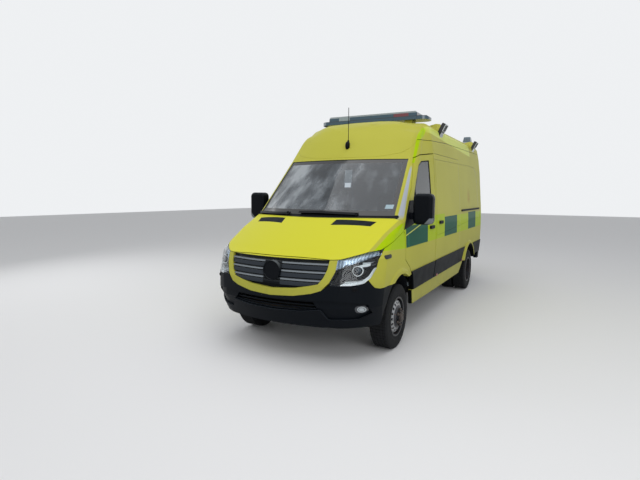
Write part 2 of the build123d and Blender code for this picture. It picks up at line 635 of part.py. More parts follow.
rear_opening = front_block(((-FAR, REAR_DOOR[1] - 6), (REAR_DOOR[0] + 8, REAR_DOOR[1] - 6),
                            (REAR_DOOR[0] + 8, REAR_DOOR[2] + 6), (-FAR, REAR_DOOR[2] + 6)),
                           BODY_END - WALL - 1, BODY_END + 200)
TAIL_LAMP = (842.0, 900.0, 1310.0, 70.0)    # inner edge, bottom, top, depth
lamp_block = box_between(TAIL_LAMP[0], FAR, BODY_END - TAIL_LAMP[3], BODY_END + 50,
                         TAIL_LAMP[1], TAIL_LAMP[2])
panel_range = side_block(((SLIDE_FRONT, 900), (SLIDE_FRONT, 3000), (BODY_END + 100, 3000),
                          (BODY_END + 100, DOOR_FOOT), (SLIDE_END - 500, DOOR_FOOT),
                          (SLIDE_END - 500, 900)))
with BuildPart() as rear_flare:
    for x, radius in ((955.0, FLARE_RADIUS - 30), (985.0 + FLARE_PROUD, ARCH_RADIUS + 30)):
        with BuildSketch(Plane.YZ.offset(x)):
            with Locations((at(WHEELBASE), TYRE_RADIUS)):
                Circle(radius)
    loft(ruled=True)
with BuildPart() as side_panel:
    add(half_below)
    add(less(rear_flare.part, inner))
    add(panel_range, mode=Mode.INTERSECT)
    for block in (side_block(moved_out(slide_outline, 4.0)), rear_opening, lamp_block, arch_rear,
                  pressed_line):
        add(block, mode=Mode.SUBTRACT)
save(both_sides(side_panel.part), "side_panels")
save(both_sides(kept(lofted(0.0, 2, 6), lamp_block)), "tail_lamps")

# Sills
SILL = ((431.0, SILL_TOP), (524.0, SILL_BOTTOM), (3022.0, SILL_BOTTOM), (3290.0, SILL_TOP))
sill = less(kept(less(lofted(0.0, 0, 1), lofted(WALL, 0, 1)), side_block(SILL)), arch_front, arch_rear)
save(both_sides(sill), "sills")

# Fixed mouldings, with the sliding doors' handles
SLIDE_HANDLE = (1600.0, 1281.0)
with BuildPart() as side_trim:
    for span in ((SLIDE_FRONT, SLIDE_END), (SLIDE_END + 4, BODY_END - 30)):
        add(less(kept(moulding_band, moulding_height,
                      side_block(((span[0], 0), (span[1], 0), (span[1], 2000), (span[0], 2000)))),
                 rod_x(WHEELBASE, TYRE_RADIUS, FLARE_RADIUS - 22, 520, FAR)))
    add(less(handle_at(*SLIDE_HANDLE, 975.0), body_side))
RAIL = (2950.0, 4520.0, 1402.0, 30.0)       # ends, height and width of the sliding door's rail
slide_rail = less(side_block(((RAIL[0], RAIL[2] - RAIL[3] / 2), (RAIL[1], RAIL[2] - RAIL[3] / 2),
                              (RAIL[1], RAIL[2] + RAIL[3] / 2), (RAIL[0], RAIL[2] + RAIL[3] / 2)),
                             940, 997), lofted(0.0, 5, 7))
with BuildPart() as all_trim:
    add(side_trim.part)
    add(slide_rail)
save(both_sides(all_trim.part), "side_trim")

# Rear doors, each with its window
REAR_WINDOW = (170.0, 650.0, 1480.0, 2060.0)    # half widths and heights
rear_window = front_block(((REAR_WINDOW[0], REAR_WINDOW[2]), (REAR_WINDOW[1], REAR_WINDOW[2]),
                           (REAR_WINDOW[1], REAR_WINDOW[3]), (REAR_WINDOW[0], REAR_WINDOW[3])),
                          BODY_END - 200, BODY_END + 50, radius=60)
rear_leaf = front_block(((6, REAR_DOOR[1]), (REAR_DOOR[0], REAR_DOOR[1]), (REAR_DOOR[0], REAR_DOOR[2]),
                         (6, REAR_DOOR[2])), BODY_END - WALL, BODY_END + 50)
rear_door = less(kept(shell, rear_leaf), rear_window)
rear_glass = kept(rear_window, box_between(0, FAR, BODY_END - GLASS_SET - GLASS,
                                           BODY_END - GLASS_SET, 1000, 2400))
rear_handle = box_between(58, 98, BODY_END, BODY_END + 26, 1080, 1250)
rear_handle = less(fillet(rear_handle.edges().filter_by(Axis.Y), 12),
                   box_between(50, 110, BODY_END, BODY_END + 13, 1120, 1210))
with BuildPart() as right_leaf:
    add(rear_door)
    add(rear_handle)
for side, leaf, turned in (("left", rear_door, lambda part: part), ("right", right_leaf.part, mirrored)):
    save(turned(leaf), f"rear_door_{side}")
    save(turned(rear_glass), f"rear_glass_{side}")

# Floor, firewall and wheel housings
well_front = rod_x(0, TYRE_RADIUS, ARCH_RADIUS + 10, 525, FAR)
well_rear = rod_x(WHEELBASE, TYRE_RADIUS, ARCH_RADIUS + 10, 525, FAR)
wells = (well_front, mirrored(well_front), well_rear, mirrored(well_rear))
floor_z = (FLOOR_TOP - FLOOR_DEPTH, FLOOR_TOP)
FIREWALL = (75.0, 110.0)
with BuildPart() as floor_pan:
    add(kept(lofted(WALL + 8, 1, 3), box_between(-FAR, FAR, FIREWALL[0], SLIDE_FRONT - 20, *floor_z)))
    add(kept(lofted(WALL, 1, 3), box_between(-FAR, FAR, SLIDE_FRONT - 20, BODY_END - WALL - 8, *floor_z)))
    add(kept(lofted(WALL + 16, 1, 6), box_between(-FAR, FAR, *FIREWALL, FLOOR_TOP - 1, 1330)))
    for well in wells:
        add(well, mode=Mode.SUBTRACT)
save(floor_pan.part, "floor_pan")


def housing(station, top):
    """The liner of a wheel arch: a half hoop and its inner wall."""
    with BuildPart() as liner:
        add(rod_x(station, TYRE_RADIUS, ARCH_RADIUS + 9, 526, 960))
        add(rod_x(station, TYRE_RADIUS, ARCH_RADIUS + 1, 533, 960), mode=Mode.SUBTRACT)
        add(box_between(0, FAR, station - 600, station + 600, FLOOR_TOP - 40, top), mode=Mode.INTERSECT)
        add(lofted(WALL, 1, 3), mode=Mode.INTERSECT)
    return liner.part


strut_hole = box_between(600, 720, -60, 60, 560, 1000)
FLAP = (640.0, 900.0, 300.0)            # half widths and foot of the flap behind the front wheel
flap = kept(less(rod_x(0, TYRE_RADIUS, ARCH_RADIUS + 9, FLAP[0], FLAP[1]),
                 rod_x(0, TYRE_RADIUS, ARCH_RADIUS + 1, FLAP[0], FLAP[1])),
            box_between(0, FAR, 200, 600, FLAP[2], FLOOR_TOP - 40))
with BuildPart() as housings:
    add(less(housing(0, 1000), strut_hole, half_bumper))
    add(flap)
    add(housing(WHEELBASE, 1000))
save(both_sides(housings.part), "wheel_housings")

# Bulkhead behind the seats, and the hoops of the load space
hoop_ring = less(inner, crowned(WALL + 35))
with BuildPart() as bulkhead:
    add(kept(inner, box_between(-FAR, FAR, SLIDE_FRONT - 20, SLIDE_FRONT + 12, FLOOR_TOP, 3000)))
    add(front_block(((-330, 1400), (330, 1400), (330, 1850), (-330, 1850)), 1300, 1500, radius=60),
        mode=Mode.SUBTRACT)
save(bulkhead.part, "bulkhead")
with BuildPart() as hoops:
    for station in (SLIDE_END - 30, 4720.0):
        add(kept(hoop_ring, box_between(-FAR, FAR, station, station + 60, FLOOR_TOP, 3000)))
save(hoops.part, "body_hoops")

# Running gear. Wheels turn about axes across the vehicle
RIM_WALL = 8.0
RIM_HALF = 95.0
DISC_SET = TWIN_SPACING / 2     # mounting face from the wheel's centre line
HUB_RADIUS = 66.0
SPINDLE_RADIUS = 30.0
RUNNING = 0.05                  # clearance of a spindle in its hub
HAND_HOLES = 16


def wheel_plane(x, station):
    """A plane with X across the vehicle and Y up, at a wheel's centre."""
    return Plane(origin=(x, at(station), TYRE_RADIUS), x_dir=(1, 0, 0), z_dir=(0, -1, 0))


def wheel_axis(station):
    """The line that a wheel turns about."""
    return Axis((0, at(station), TYRE_RADIUS), (1, 0, 0))


GROOVES = (-48.0, 0.0, 48.0)        # tread grooves from the tyre's middle
GROOVE = (9.0, 8.0)                 # width and depth


def tyre(x, station):
    """A tyre with its bulged walls and three tread grooves."""
    half, crown = TYRE_WIDTH / 2, TYRE_RADIUS
    wall = [(half - 22, RIM_RADIUS), (half - 6, RIM_RADIUS + 22), (half, RIM_RADIUS + 58),
            (half - 5, crown - 34), (half - 14, crown - 12), (half - 30, crown - 3)]
    tread = []
    for middle in GROOVES:
        edges = (middle - GROOVE[0] / 2, middle + GROOVE[0] / 2)
        tread += [(edges[0], crown), (edges[0], crown - GROOVE[1]), (edges[1], crown - GROOVE[1]),
                  (edges[1], crown)]
    with BuildPart() as piece:
        with BuildSketch(wheel_plane(x, station)):
            with BuildLine():
                Polyline(*[(-u, r) for u, r in wall], *tread, *reversed(wall), close=True)
            make_face()
        revolve(axis=wheel_axis(station))
    return piece.part


def rim(x, station, way):
    """A steel wheel. way is 1 where its disc bulges to the vehicle's left, -1 to the right."""
    barrel = RIM_RADIUS - RIM_WALL
    disc = ((barrel + 2, way * 20.0), (barrel + 2, way * 45.0), (168.0, way * 78.0),
            (112.0, way * 100.0), (100.0, way * DISC_SET), (SPINDLE_RADIUS + 20, way * DISC_SET))
    with BuildPart() as piece:
        with BuildSketch(wheel_plane(x, station)):
            with Locations((0, RIM_RADIUS - RIM_WALL / 2)):
                Rectangle(2 * RIM_HALF, RIM_WALL)
            for end in (-1, 1):
                with Locations((end * (RIM_HALF - 4), RIM_RADIUS + 2)):
                    Rectangle(8, 16)
            with BuildLine():
                front = [(u, r) for r, u in disc]
                back = [(u - way * RIM_WALL, r - 3) for r, u in reversed(disc)]
                Polyline(*front, *back, close=True)
            make_face()
        revolve(axis=wheel_axis(station))
        face_plane = Plane(origin=(x - way * 200, at(station), TYRE_RADIUS), x_dir=(0, 1, 0),
                           z_dir=(way, 0, 0))
        with BuildSketch(face_plane):
            with PolarLocations(146, HAND_HOLES):
                RegularPolygon(16, 8)
        extrude(amount=400, mode=Mode.SUBTRACT)
    return piece.part


front_centre = FRONT_TRACK_HALF
KINGPIN_X = FRONT_TRACK_HALF - KINGPIN_INSET
HUB_SPAN = (KINGPIN_X + 34, FRONT_TRACK_HALF + DISC_SET + 14)


def hub(x0, x1, station, flange):
    """A hub with its bore, from one half width to another, and its wheel flange."""
    with BuildPart() as piece:
        add(rod_x(station, TYRE_RADIUS, HUB_RADIUS, x0, x1))
        add(rod_x(station, TYRE_RADIUS, 92, flange - 18, flange - 8))
        add(rod_x(station, TYRE_RADIUS, SPINDLE_RADIUS + RUNNING, x0 - 1, x1 - 8), mode=Mode.SUBTRACT)
    return piece.part


front_rim = rim(front_centre, 0, 1)
with BuildPart() as front_wheel:
    add(front_rim)
    add(hub(*HUB_SPAN, 0, front_centre + DISC_SET))
save(front_wheel.part, "front_rim_left")
save(mirrored(front_wheel.part), "front_rim_right")
front_tyre = tyre(front_centre, 0)
save(front_tyre, "front_tyre_left")
save(mirrored(front_tyre), "front_tyre_right")

twin_outer = REAR_TRACK_HALF + TWIN_SPACING / 2
twin_inner = REAR_TRACK_HALF - TWIN_SPACING / 2
REAR_HUB = (REAR_TRACK_HALF - 70, REAR_TRACK_HALF + 70)
with BuildPart() as rear_wheel:
    add(rim(twin_outer, WHEELBASE, -1))
    add(rim(twin_inner, WHEELBASE, 1))
    add(hub(*REAR_HUB, WHEELBASE, REAR_TRACK_HALF))
save(rear_wheel.part, "rear_rims_left")
save(mirrored(rear_wheel.part), "rear_rims_right")
with BuildPart() as rear_tyres:
    add(tyre(twin_outer, WHEELBASE))
    add(tyre(twin_inner, WHEELBASE))
save(rear_tyres.part, "rear_tyres_left")
save(mirrored(rear_tyres.part), "rear_tyres_right")

# Steering knuckles: post on the kingpin axis, wheel spindle and steering arm
LOWER_ARM = (200.0, 235.0)
UPPER_ARM = (460.0, 490.0)
BALL_GAP = 0.3
POST_RADIUS = 26.0


with BuildPart() as knuckle:
    add(upright_rod(KINGPIN_X, 0, POST_RADIUS, LOWER_ARM[1] + BALL_GAP, UPPER_ARM[0] - BALL_GAP))
    add(rod_x(0, TYRE_RADIUS, SPINDLE_RADIUS, KINGPIN_X, HUB_SPAN[1] - 12))
    add(box_between(KINGPIN_X - 62, KINGPIN_X - 20, -14, 14, TYRE_RADIUS - 40, TYRE_RADIUS + 40))
    add(box_between(KINGPIN_X - 62, KINGPIN_X - 40, -10, 125, TYRE_RADIUS - 15, TYRE_RADIUS + 15))
save(knuckle.part, "knuckle_left")
save(mirrored(knuckle.part), "knuckle_right")

# Front suspension: subframe, lower arms, struts and their towers
RAIL_X = (360.0, 430.0)
RAIL_Z = (465.0, FLOOR_TOP - FLOOR_DEPTH)
STRUT_X = 660.0
with BuildPart() as half_suspension:
    add(box_between(0, 370, -150, 150, 235, RAIL_Z[0]))
    with BuildSketch(Plane.XY.offset(LOWER_ARM[0])):
        with BuildLine():
            Polyline((340, at(-150)), (340, at(150)), (KINGPIN_X, at(28)), (KINGPIN_X, at(-28)), close=True)
        make_face()
    extrude(amount=LOWER_ARM[1] - LOWER_ARM[0])
    add(upright_rod(KINGPIN_X, 0, 30, *LOWER_ARM))
    add(box_between(STRUT_X - 30, KINGPIN_X, -24, 24, *UPPER_ARM))
    add(upright_rod(KINGPIN_X, 0, 30, *UPPER_ARM))
    add(upright_rod(STRUT_X, 0, 28, UPPER_ARM[0], 880))
    add(upright_rod(STRUT_X, 0, 52, 560, 790))
    add(box_between(RAIL_X[1], STRUT_X + 40, -50, 50, 880, 900))
    add(box_between(RAIL_X[1], RAIL_X[1] + 30, -50, 50, RAIL_Z[0] + 20, 900))
with BuildPart() as front_suspension:
    add(half_suspension.part)
    add(mirrored(half_suspension.part))
save(front_suspension.part, "front_suspension")

# Chassis: two rails, cross members and outriggers to the sills
CROSS_MEMBERS = (-560.0, 480.0, 1350.0, 2450.0, 3130.0, 4150.0, 4760.0)
OUTRIGGERS = (700.0, 1370.0, 2100.0, 2800.0)
bumper_inside = lofted(BUMPER_WALL, 0, 3)
sill_inside = lofted(WALL, 0, 3)
with BuildPart() as half_chassis:
    add(box_between(*RAIL_X, -640, BODY_END - BUMPER_WALL, *RAIL_Z))
    for station in CROSS_MEMBERS:
        add(box_between(0, RAIL_X[0] + 5, station - 30, station + 30, RAIL_Z[0] + 8, RAIL_Z[1] - 30))
    add(kept(box_between(0, 700, -1000, -640, RAIL_Z[0], RAIL_Z[0] + 90), bumper_inside))
    for station in OUTRIGGERS:
        add(kept(box_between(RAIL_X[1] - 5, FAR, station - 25, station + 25, RAIL_Z[0], SILL_TOP - 15),
                 sill_inside))
with BuildPart() as chassis:
    add(half_chassis.part)
    add(mirrored(half_chassis.part))
save(chassis.part, "chassis_frame")

# Rear axle on leaf springs, with its propeller shaft
AXLE_TUBE = 52.0
SPRING_X = (RAIL_X[1] + 8, RAIL_X[1] + 78)
SPRING_SPAN = 640.0
with BuildPart() as axle:
    add(rod_x(WHEELBASE, TYRE_RADIUS, AXLE_TUBE, -REAR_HUB[0] + 10, REAR_HUB[0] - 10))
    add(rod_x(WHEELBASE, TYRE_RADIUS, SPINDLE_RADIUS, -REAR_HUB[1] + 12, REAR_HUB[1] - 12))
    with BuildSketch(Plane(origin=(0, at(WHEELBASE), TYRE_RADIUS), x_dir=(1, 0, 0), z_dir=(0, -1, 0))):
        with BuildLine():
            Line((-150, 0), (150, 0))
            ThreePointArc((150, 0), (0, 150), (-150, 0))
        make_face()
    revolve(axis=wheel_axis(WHEELBASE))
    shaft_plane = Plane(origin=(0, at(300.6), 395), z_dir=(0, WHEELBASE - 430, TYRE_RADIUS - 395))
    with BuildSketch(shaft_plane):
        Circle(34)
    extrude(amount=WHEELBASE - 420)
    for side in (1, -1):
        x0 = SPRING_X[0] if side > 0 else -SPRING_X[1]
        with BuildSketch(Plane.YZ.offset(x0)):
            with BuildLine():
                low = TYRE_RADIUS + AXLE_TUBE - 8
                ends = RAIL_Z[0] + 30
                ThreePointArc((at(WHEELBASE - SPRING_SPAN), ends), (at(WHEELBASE), low),
                              (at(WHEELBASE + SPRING_SPAN), ends))
                Line((at(WHEELBASE + SPRING_SPAN), ends), (at(WHEELBASE + SPRING_SPAN), ends + 30))
                ThreePointArc((at(WHEELBASE + SPRING_SPAN), ends + 30), (at(WHEELBASE), low + 36),
                              (at(WHEELBASE - SPRING_SPAN), ends + 30))
                Line((at(WHEELBASE - SPRING_SPAN), ends + 30), (at(WHEELBASE - SPRING_SPAN), ends))
            make_face()
        extrude(amount=SPRING_X[1] - SPRING_X[0])
        for end in (-1, 1):
            eye = rod_x(WHEELBASE + end * SPRING_SPAN, RAIL_Z[0] + 45, 26,
                        min(side * RAIL_X[1], side * SPRING_X[1]), max(side * RAIL_X[1], side * SPRING_X[1]))
            add(eye)
save(axle.part, "rear_axle")

# Engine, tank and exhaust
with BuildPart() as engine:
    add(box_between(-300, 300, -700, -60, RAIL_Z[1] - 30, 1040))
    fillet(engine.edges().filter_by(Axis.Z), 40)
    add(box_between(-130, 130, -70, 160, RAIL_Z[0] + 10, RAIL_Z[1] - 5))
    add(box_between(-130, 130, 155, 300, 345, RAIL_Z[1] - 5))
save(engine.part, "engine_block")
tank = box_between(-860, -RAIL_X[1], 1450, 2050, 330, 560)
save(fillet(tank.edges().filter_by(Axis.Y), 35), "fuel_tank")
EXHAUST_X = 215.0
EXHAUST_Z = 390.0
EXHAUST_RUN = (250.0, 3150.0)
SILENCER = (2200.0, 2900.0)
EXHAUST_HANGERS = (480.0, 2450.0, 3130.0)
with BuildPart() as exhaust:
    with BuildSketch(Plane.XZ.offset(-at(EXHAUST_RUN[1]))):
        with Locations((EXHAUST_X, EXHAUST_Z)):
            Circle(29)
    extrude(amount=EXHAUST_RUN[1] - EXHAUST_RUN[0])
    with BuildSketch(Plane.XZ.offset(-at(SILENCER[1]))):
        with Locations((EXHAUST_X, EXHAUST_Z)):
            RectangleRounded(220, 124, 50)
    extrude(amount=SILENCER[1] - SILENCER[0])
    for station in EXHAUST_HANGERS:
        add(upright_rod(EXHAUST_X, station, 10, EXHAUST_Z, RAIL_Z[0] + 8))
save(exhaust.part, "exhaust")

# Cab: dashboard, seats and steering wheel
DASH = ((FIREWALL[1], 900.0), (FIREWALL[1], 1270.0), (180.0, 1330.0), (420.0, 1310.0), (480.0, 1220.0),
        (400.0, 1050.0), (330.0, 900.0))
save(kept(side_block(DASH, -FAR, FAR, radius=18), lofted(WALL + 16, 3, 6)), "dashboard")
SEAT_X = 470.0
SEAT_WIDTH = 490.0


def seat(x):
    """A cab seat on its plinth: cushion, back and head restraint."""
    with BuildPart() as chair:
        add(box_between(x - 200, x + 200, 760, 1180, FLOOR_TOP, 860))
        add(side_block(((700, 860), (700, 985), (760, 1010), (1160, 985), (1190, 860)),
                       x - SEAT_WIDTH / 2, x + SEAT_WIDTH / 2))
        add(side_block(((1110, 900), (1120, 1000), (1210, 1620), (1260, 1650), (1310, 1620),
                        (1255, 900)), x - SEAT_WIDTH / 2, x + SEAT_WIDTH / 2))
        add(side_block(((1225, 1640), (1235, 1840), (1300, 1840), (1305, 1615)), x - 130, x + 130))
    return chair.part


save(both_sides(seat(SEAT_X)), "cab_seats")
WHEEL_HUB = (640.0, 1235.0)         # station and height of the steering wheel's centre
COLUMN_RAKE = 28.0                  # degrees of the column above level
column_dir = Vector(0, cos(radians(COLUMN_RAKE)), sin(radians(COLUMN_RAKE)))
wheel_centre = Vector(SEAT_X - 20, at(WHEEL_HUB[0]), WHEEL_HUB[1])
steering_plane = Plane(origin=wheel_centre, x_dir=(1, 0, 0), z_dir=column_dir)
with BuildPart() as steering:
    with BuildSketch(Plane(origin=wheel_centre, x_dir=(1, 0, 0), z_dir=steering_plane.y_dir)):
        with Locations((190, 0)):
            RegularPolygon(16, 8)
    revolve(axis=Axis(wheel_centre, column_dir))
    with BuildSketch(steering_plane.offset(-12)):
        Rectangle(376, 46)
        with Locations((0, -90)):
            Rectangle(46, 190)
        Circle(70)
    extrude(amount=20)
    with BuildSketch(steering_plane.offset(-150)):
        Circle(24)
    extrude(amount=140)
save(steering.part, "steering_wheel")

# Roof equipment
BAR_CAP = (655.0, 2700.0)               # where the bar steps down to its end lamps, and their top
with BuildPart() as light_bar:
    with BuildSketch(Plane.XY.offset(LIGHT_BAR[1])):
        with Locations((0, at(LIGHT_BAR[0]))):
            RectangleRounded(2 * LIGHT_BAR[3], LIGHT_BAR[4], 110)
    extrude(amount=LIGHT_BAR[2] - LIGHT_BAR[1])
    ends = ((BAR_CAP[0] - 20, LIGHT_BAR[2]), (BAR_CAP[0], LIGHT_BAR[2] - 18), (BAR_CAP[0] + 4, BAR_CAP[1]),
            (LIGHT_BAR[3] - 22, BAR_CAP[1]), (LIGHT_BAR[3], BAR_CAP[1] - 16), (LIGHT_BAR[3], 0))
    add(front_block(across(ends), LIGHT_BAR[0] - 300, LIGHT_BAR[0] + 300), mode=Mode.INTERSECT)
save(light_bar.part, "light_bar")
with BuildPart() as beacon:
    with BuildSketch(Plane.XY.offset(BEACON[2])):
        with Locations((BEACON[1], at(BEACON[0]))):
            Rectangle(150, 150)
    with BuildSketch(Plane.XY.offset(BEACON[3])):
        with Locations((BEACON[1], at(BEACON[0]))):
            Rectangle(110, 110)
    loft()
save(both_sides(beacon.part), "rear_beacons")


LAMP_HEAD = (908.0, 2580.0, 58.0, 112.0, -28.0)     # half width, height, depth, size, tip in degrees
LAMP_LENGTH = 140.0
LAMP_STATIONS = (1900.0, 4300.0)


def scene_lamp(station):
    """A work lamp on its wedge at the roof's edge, tipped outwards."""
    with BuildPart() as lamp:
        with BuildSketch(Plane.XZ.offset(-at(station + LAMP_LENGTH / 2))):
            with BuildLine():
                Polyline((690, 2500), (690, 2602), (815, 2630), (872, 2622), (900, 2520), (868, 2440),
                         close=True)
            make_face()
        extrude(amount=LAMP_LENGTH)
        add(outer, mode=Mode.SUBTRACT)
        with BuildSketch(Plane.XZ.offset(-at(station + LAMP_LENGTH / 2 + 6))):
            with Locations(Location((LAMP_HEAD[0], LAMP_HEAD[1]), LAMP_HEAD[4])):
                RectangleRounded(LAMP_HEAD[2], LAMP_HEAD[3], 14)
        extrude(amount=LAMP_LENGTH + 12)
        head = Plane(origin=(LAMP_HEAD[0], at(station), LAMP_HEAD[1]), x_dir=(0, 1, 0),
                     z_dir=(cos(radians(LAMP_HEAD[4])), 0, sin(radians(LAMP_HEAD[4]))))
        with BuildSketch(head.offset(LAMP_HEAD[2] / 2)):
            RectangleRounded(LAMP_LENGTH - 16, LAMP_HEAD[3] - 26, 10)
        extrude(amount=-8, mode=Mode.SUBTRACT)
    return lamp.part


with BuildPart() as scene_lamps:
    for station in LAMP_STATIONS:
        add(scene_lamp(station))
save(both_sides(scene_lamps.part), "scene_lamps")
with BuildPart() as antenna:
    with BuildSketch(Plane.XY.offset(ANTENNA[2])):
        with Locations((ANTENNA[0], at(ANTENNA[1]))):
            Circle(ANTENNA_BASE[0])
    with BuildSketch(Plane.XY.offset(ANTENNA[2] + ANTENNA_BASE[1])):
        with Locations((ANTENNA[0], at(ANTENNA[1] + 6))):
            Circle(ANTENNA_BASE[2])
    loft()
    add(upright_rod(ANTENNA[0], ANTENNA[1] + 6, 4, ANTENNA[2] + ANTENNA_BASE[1] - 8, ANTENNA[3]))
save(antenna.part, "antenna")

# Wipers: a spindle, an arm and a blade for each side of the windscreen
WIPERS = (((-862.0, 1424.0), (-560.0, 1424.0), (-300.0, 1430.0)),
          ((-172.0, 1444.0), (110.0, 1450.0), (520.0, 1438.0)))        # blade end, joint, spindle end
BLADE = (-24.0, -7.0, 11.0)             # outer and inner distance from the skin, half height
WIPER_SPINDLES = ((-330.0, -182.0), (500.0, -128.0))
with BuildPart() as wipers:
    for points in WIPERS:
        low = [(x, z - BLADE[2]) for x, z in points]
        high = [(x, z + BLADE[2]) for x, z in reversed(points)]
        add(kept(less(lofted(BLADE[0], 5, 7), lofted(BLADE[1], 5, 7)), front_block((*low, *high), s1=600)))
    for x, station in WIPER_SPINDLES:
        add(less(upright_rod(x, station, 13, 1396, 1446), outer))
save(wipers.part, "wipers")

# Rear end: corner bumper and step
rear_low = less(lofted(-6.0, 0, 2), lofted(BUMPER_WALL, 0, 2))
with BuildPart() as rear_bumper:
    add(kept(rear_low, box_between(-FAR, FAR, BODY_END - 200, BODY_END + 100, 430, SILL_TOP)))
save(rear_bumper.part, "rear_bumper")
STEP_EDGE = LENGTH - FRONT_OVERHANG
with BuildPart() as step:
    add(box_between(-700, 700, BODY_END + 10, STEP_EDGE, 385, 420))
    for x in (-500, 500):
        add(box_between(x - 30, x + 30, BODY_END - 120, BODY_END + 60, 392, 430))
save(step.part, "rear_step")
print("NODES", len(NODES))
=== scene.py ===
# %% [markdown]
# A high-roof ambulance, finished in Blender
#
# The body, the doors, the wheels and the running gear come from the CAD model and stay where they
# are. This lesson gives them their paint, glass, rubber and metal, and adds the small pieces that a
# van carries. Lengths are metres. The nose points to -Y, +X is the vehicle's left side and the
# origin is on the ground under its middle.

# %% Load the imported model
import math

import bpy
from mathutils import Matrix, Vector


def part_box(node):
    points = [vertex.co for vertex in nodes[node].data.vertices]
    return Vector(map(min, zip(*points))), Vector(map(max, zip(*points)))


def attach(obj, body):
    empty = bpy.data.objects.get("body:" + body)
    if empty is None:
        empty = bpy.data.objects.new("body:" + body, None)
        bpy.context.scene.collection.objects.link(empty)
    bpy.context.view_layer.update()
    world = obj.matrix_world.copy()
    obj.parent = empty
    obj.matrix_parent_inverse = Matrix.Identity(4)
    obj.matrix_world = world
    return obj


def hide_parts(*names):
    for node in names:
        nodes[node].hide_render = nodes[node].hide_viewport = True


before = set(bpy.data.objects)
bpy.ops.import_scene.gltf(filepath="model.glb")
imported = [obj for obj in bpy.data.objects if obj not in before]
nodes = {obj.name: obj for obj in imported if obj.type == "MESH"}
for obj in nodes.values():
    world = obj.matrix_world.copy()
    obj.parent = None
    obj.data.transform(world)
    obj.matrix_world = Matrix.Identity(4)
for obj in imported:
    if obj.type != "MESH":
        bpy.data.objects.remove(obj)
scene = bpy.context.scene
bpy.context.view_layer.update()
FRONT_AXLE = -2.005     # Y of the front axle, from which places along the vehicle are measured


def at(station):
    """Y of a place behind the front axle."""
    return FRONT_AXLE + station


# %% [markdown]
# The camera stands at about eye height, ahead of the vehicle's left front corner and a little over
# four metres away. A wide lens so close makes the near corner large, so the position and the lens
# matter more than the turn of the head.

# %% Camera
CAMERA_PLACE = (2.503, at(-4.601), 1.643)
YAW, PITCH, ROLL = math.radians(28.6), math.radians(-5.74), math.radians(0.48)
LENS = 25.6             # mm on a 36 mm wide sensor

camera = bpy.data.objects.new("camera", bpy.data.cameras.new("camera"))
# A camera starts out looking straight down
aim = Matrix.Rotation(YAW, 4, "Z") @ Matrix.Rotation(math.pi / 2 + PITCH, 4, "X")
camera.matrix_world = Matrix.Translation(CAMERA_PLACE) @ aim @ Matrix.Rotation(ROLL, 4, "Z")
camera.data.lens = LENS
camera.data.clip_end = 200.0
scene.collection.objects.link(camera)
scene.camera = camera
print("camera at", CAMERA_PLACE, "with a lens of", LENS, "mm")

# %% [markdown]
# A material is a tree of nodes. One function adds a node, sets its values and links it to the nodes
# that it reads. Colours are written as the hex codes that a screen shows and turned to linear there.

# %% Colours and nodes
def linear(code):
    """A linear colour from an sRGB hex code."""
    parts = [int(code[k:k + 2], 16) / 255 for k in (0, 2, 4)]
    return tuple(c / 12.92 if c <= 0.04045 else ((c + 0.055) / 1.055) ** 2.4 for c in parts) + (1.0,)


def feed(node, inputs):
    """Gives a node's sockets their values, their colours by hex code, or their links."""
    for socket, value in inputs.items():
        if isinstance(value, bpy.types.NodeSocket):
            node.id_data.links.new(value, node.inputs[socket])
        else:
            node.inputs[socket].default_value = linear(value) if isinstance(value, str) else value


def add_node(kind, inputs, tree=None, **settings):
    """Adds a node with its settings and inputs, to a tree or beside the first node that it reads."""
    read = [value for value in inputs.values() if isinstance(value, bpy.types.NodeSocket)]
    tree = tree or read[0].id_data
    made = tree.nodes.new("ShaderNode" + kind)
    for name, value in settings.items():
        setattr(made, name, value)
    feed(made, inputs)
    return made


# %% [markdown]
# Open shade under a bright sky is soft light from all over. A large lamp overhead and a wide one
# behind the camera give it in a studio, and leave long, calm highlights on roof edge and glass.

# %% Studio: floor, sky and lamps
FLOOR_COLOUR = "E9E9EA"
SKY_COLOUR = "F4F6F8"


def area_lamp(name, place, target, width, height, power):
    """A soft rectangular lamp aimed at a point."""
    lamp = bpy.data.objects.new(name, bpy.data.lights.new(name, "AREA"))
    lamp.data.shape = "RECTANGLE"
    lamp.data.size, lamp.data.size_y, lamp.data.energy = width, height, power
    aim = (Vector(target) - Vector(place)).to_track_quat("-Z", "Y")
    lamp.matrix_world = Matrix.Translation(place) @ aim.to_matrix().to_4x4()
    scene.collection.objects.link(lamp)


scene.view_settings.view_transform = "Standard"
world = bpy.data.worlds.new("studio")
scene.world = world
world.use_nodes = True
sky = world.node_tree
sky.nodes.clear()
path = add_node("LightPath", {}, sky)
seen = path.outputs["Is Camera Ray"]
for ray in ("Is Glossy Ray", "Is Transmission Ray"):
    seen = add_node("Math", {0: seen, 1: path.outputs[ray]}, operation="MAXIMUM").outputs[0]
dim = add_node("Background", {"Color": SKY_COLOUR, "Strength": 0.52}, sky)
bright = add_node("Background", {"Color": SKY_COLOUR, "Strength": 0.95}, sky)
both = add_node("MixShader", {0: seen, 1: dim.outputs[0], 2: bright.outputs[0]})
add_node("OutputWorld", {"Surface": both.outputs[0]})
area_lamp("overhead", (1.0, -3.0, 7.5), (0.0, 0.0, 1.0), 7.0, 9.0, 250.0)
area_lamp("camera_side", (7.5, -8.5, 4.5), (0.3, -0.5, 1.2), 6.0, 4.0, 230.0)
area_lamp("far_side", (-7.0, -2.0, 4.0), (0.0, 0.0, 1.2), 5.0, 4.0, 90.0)

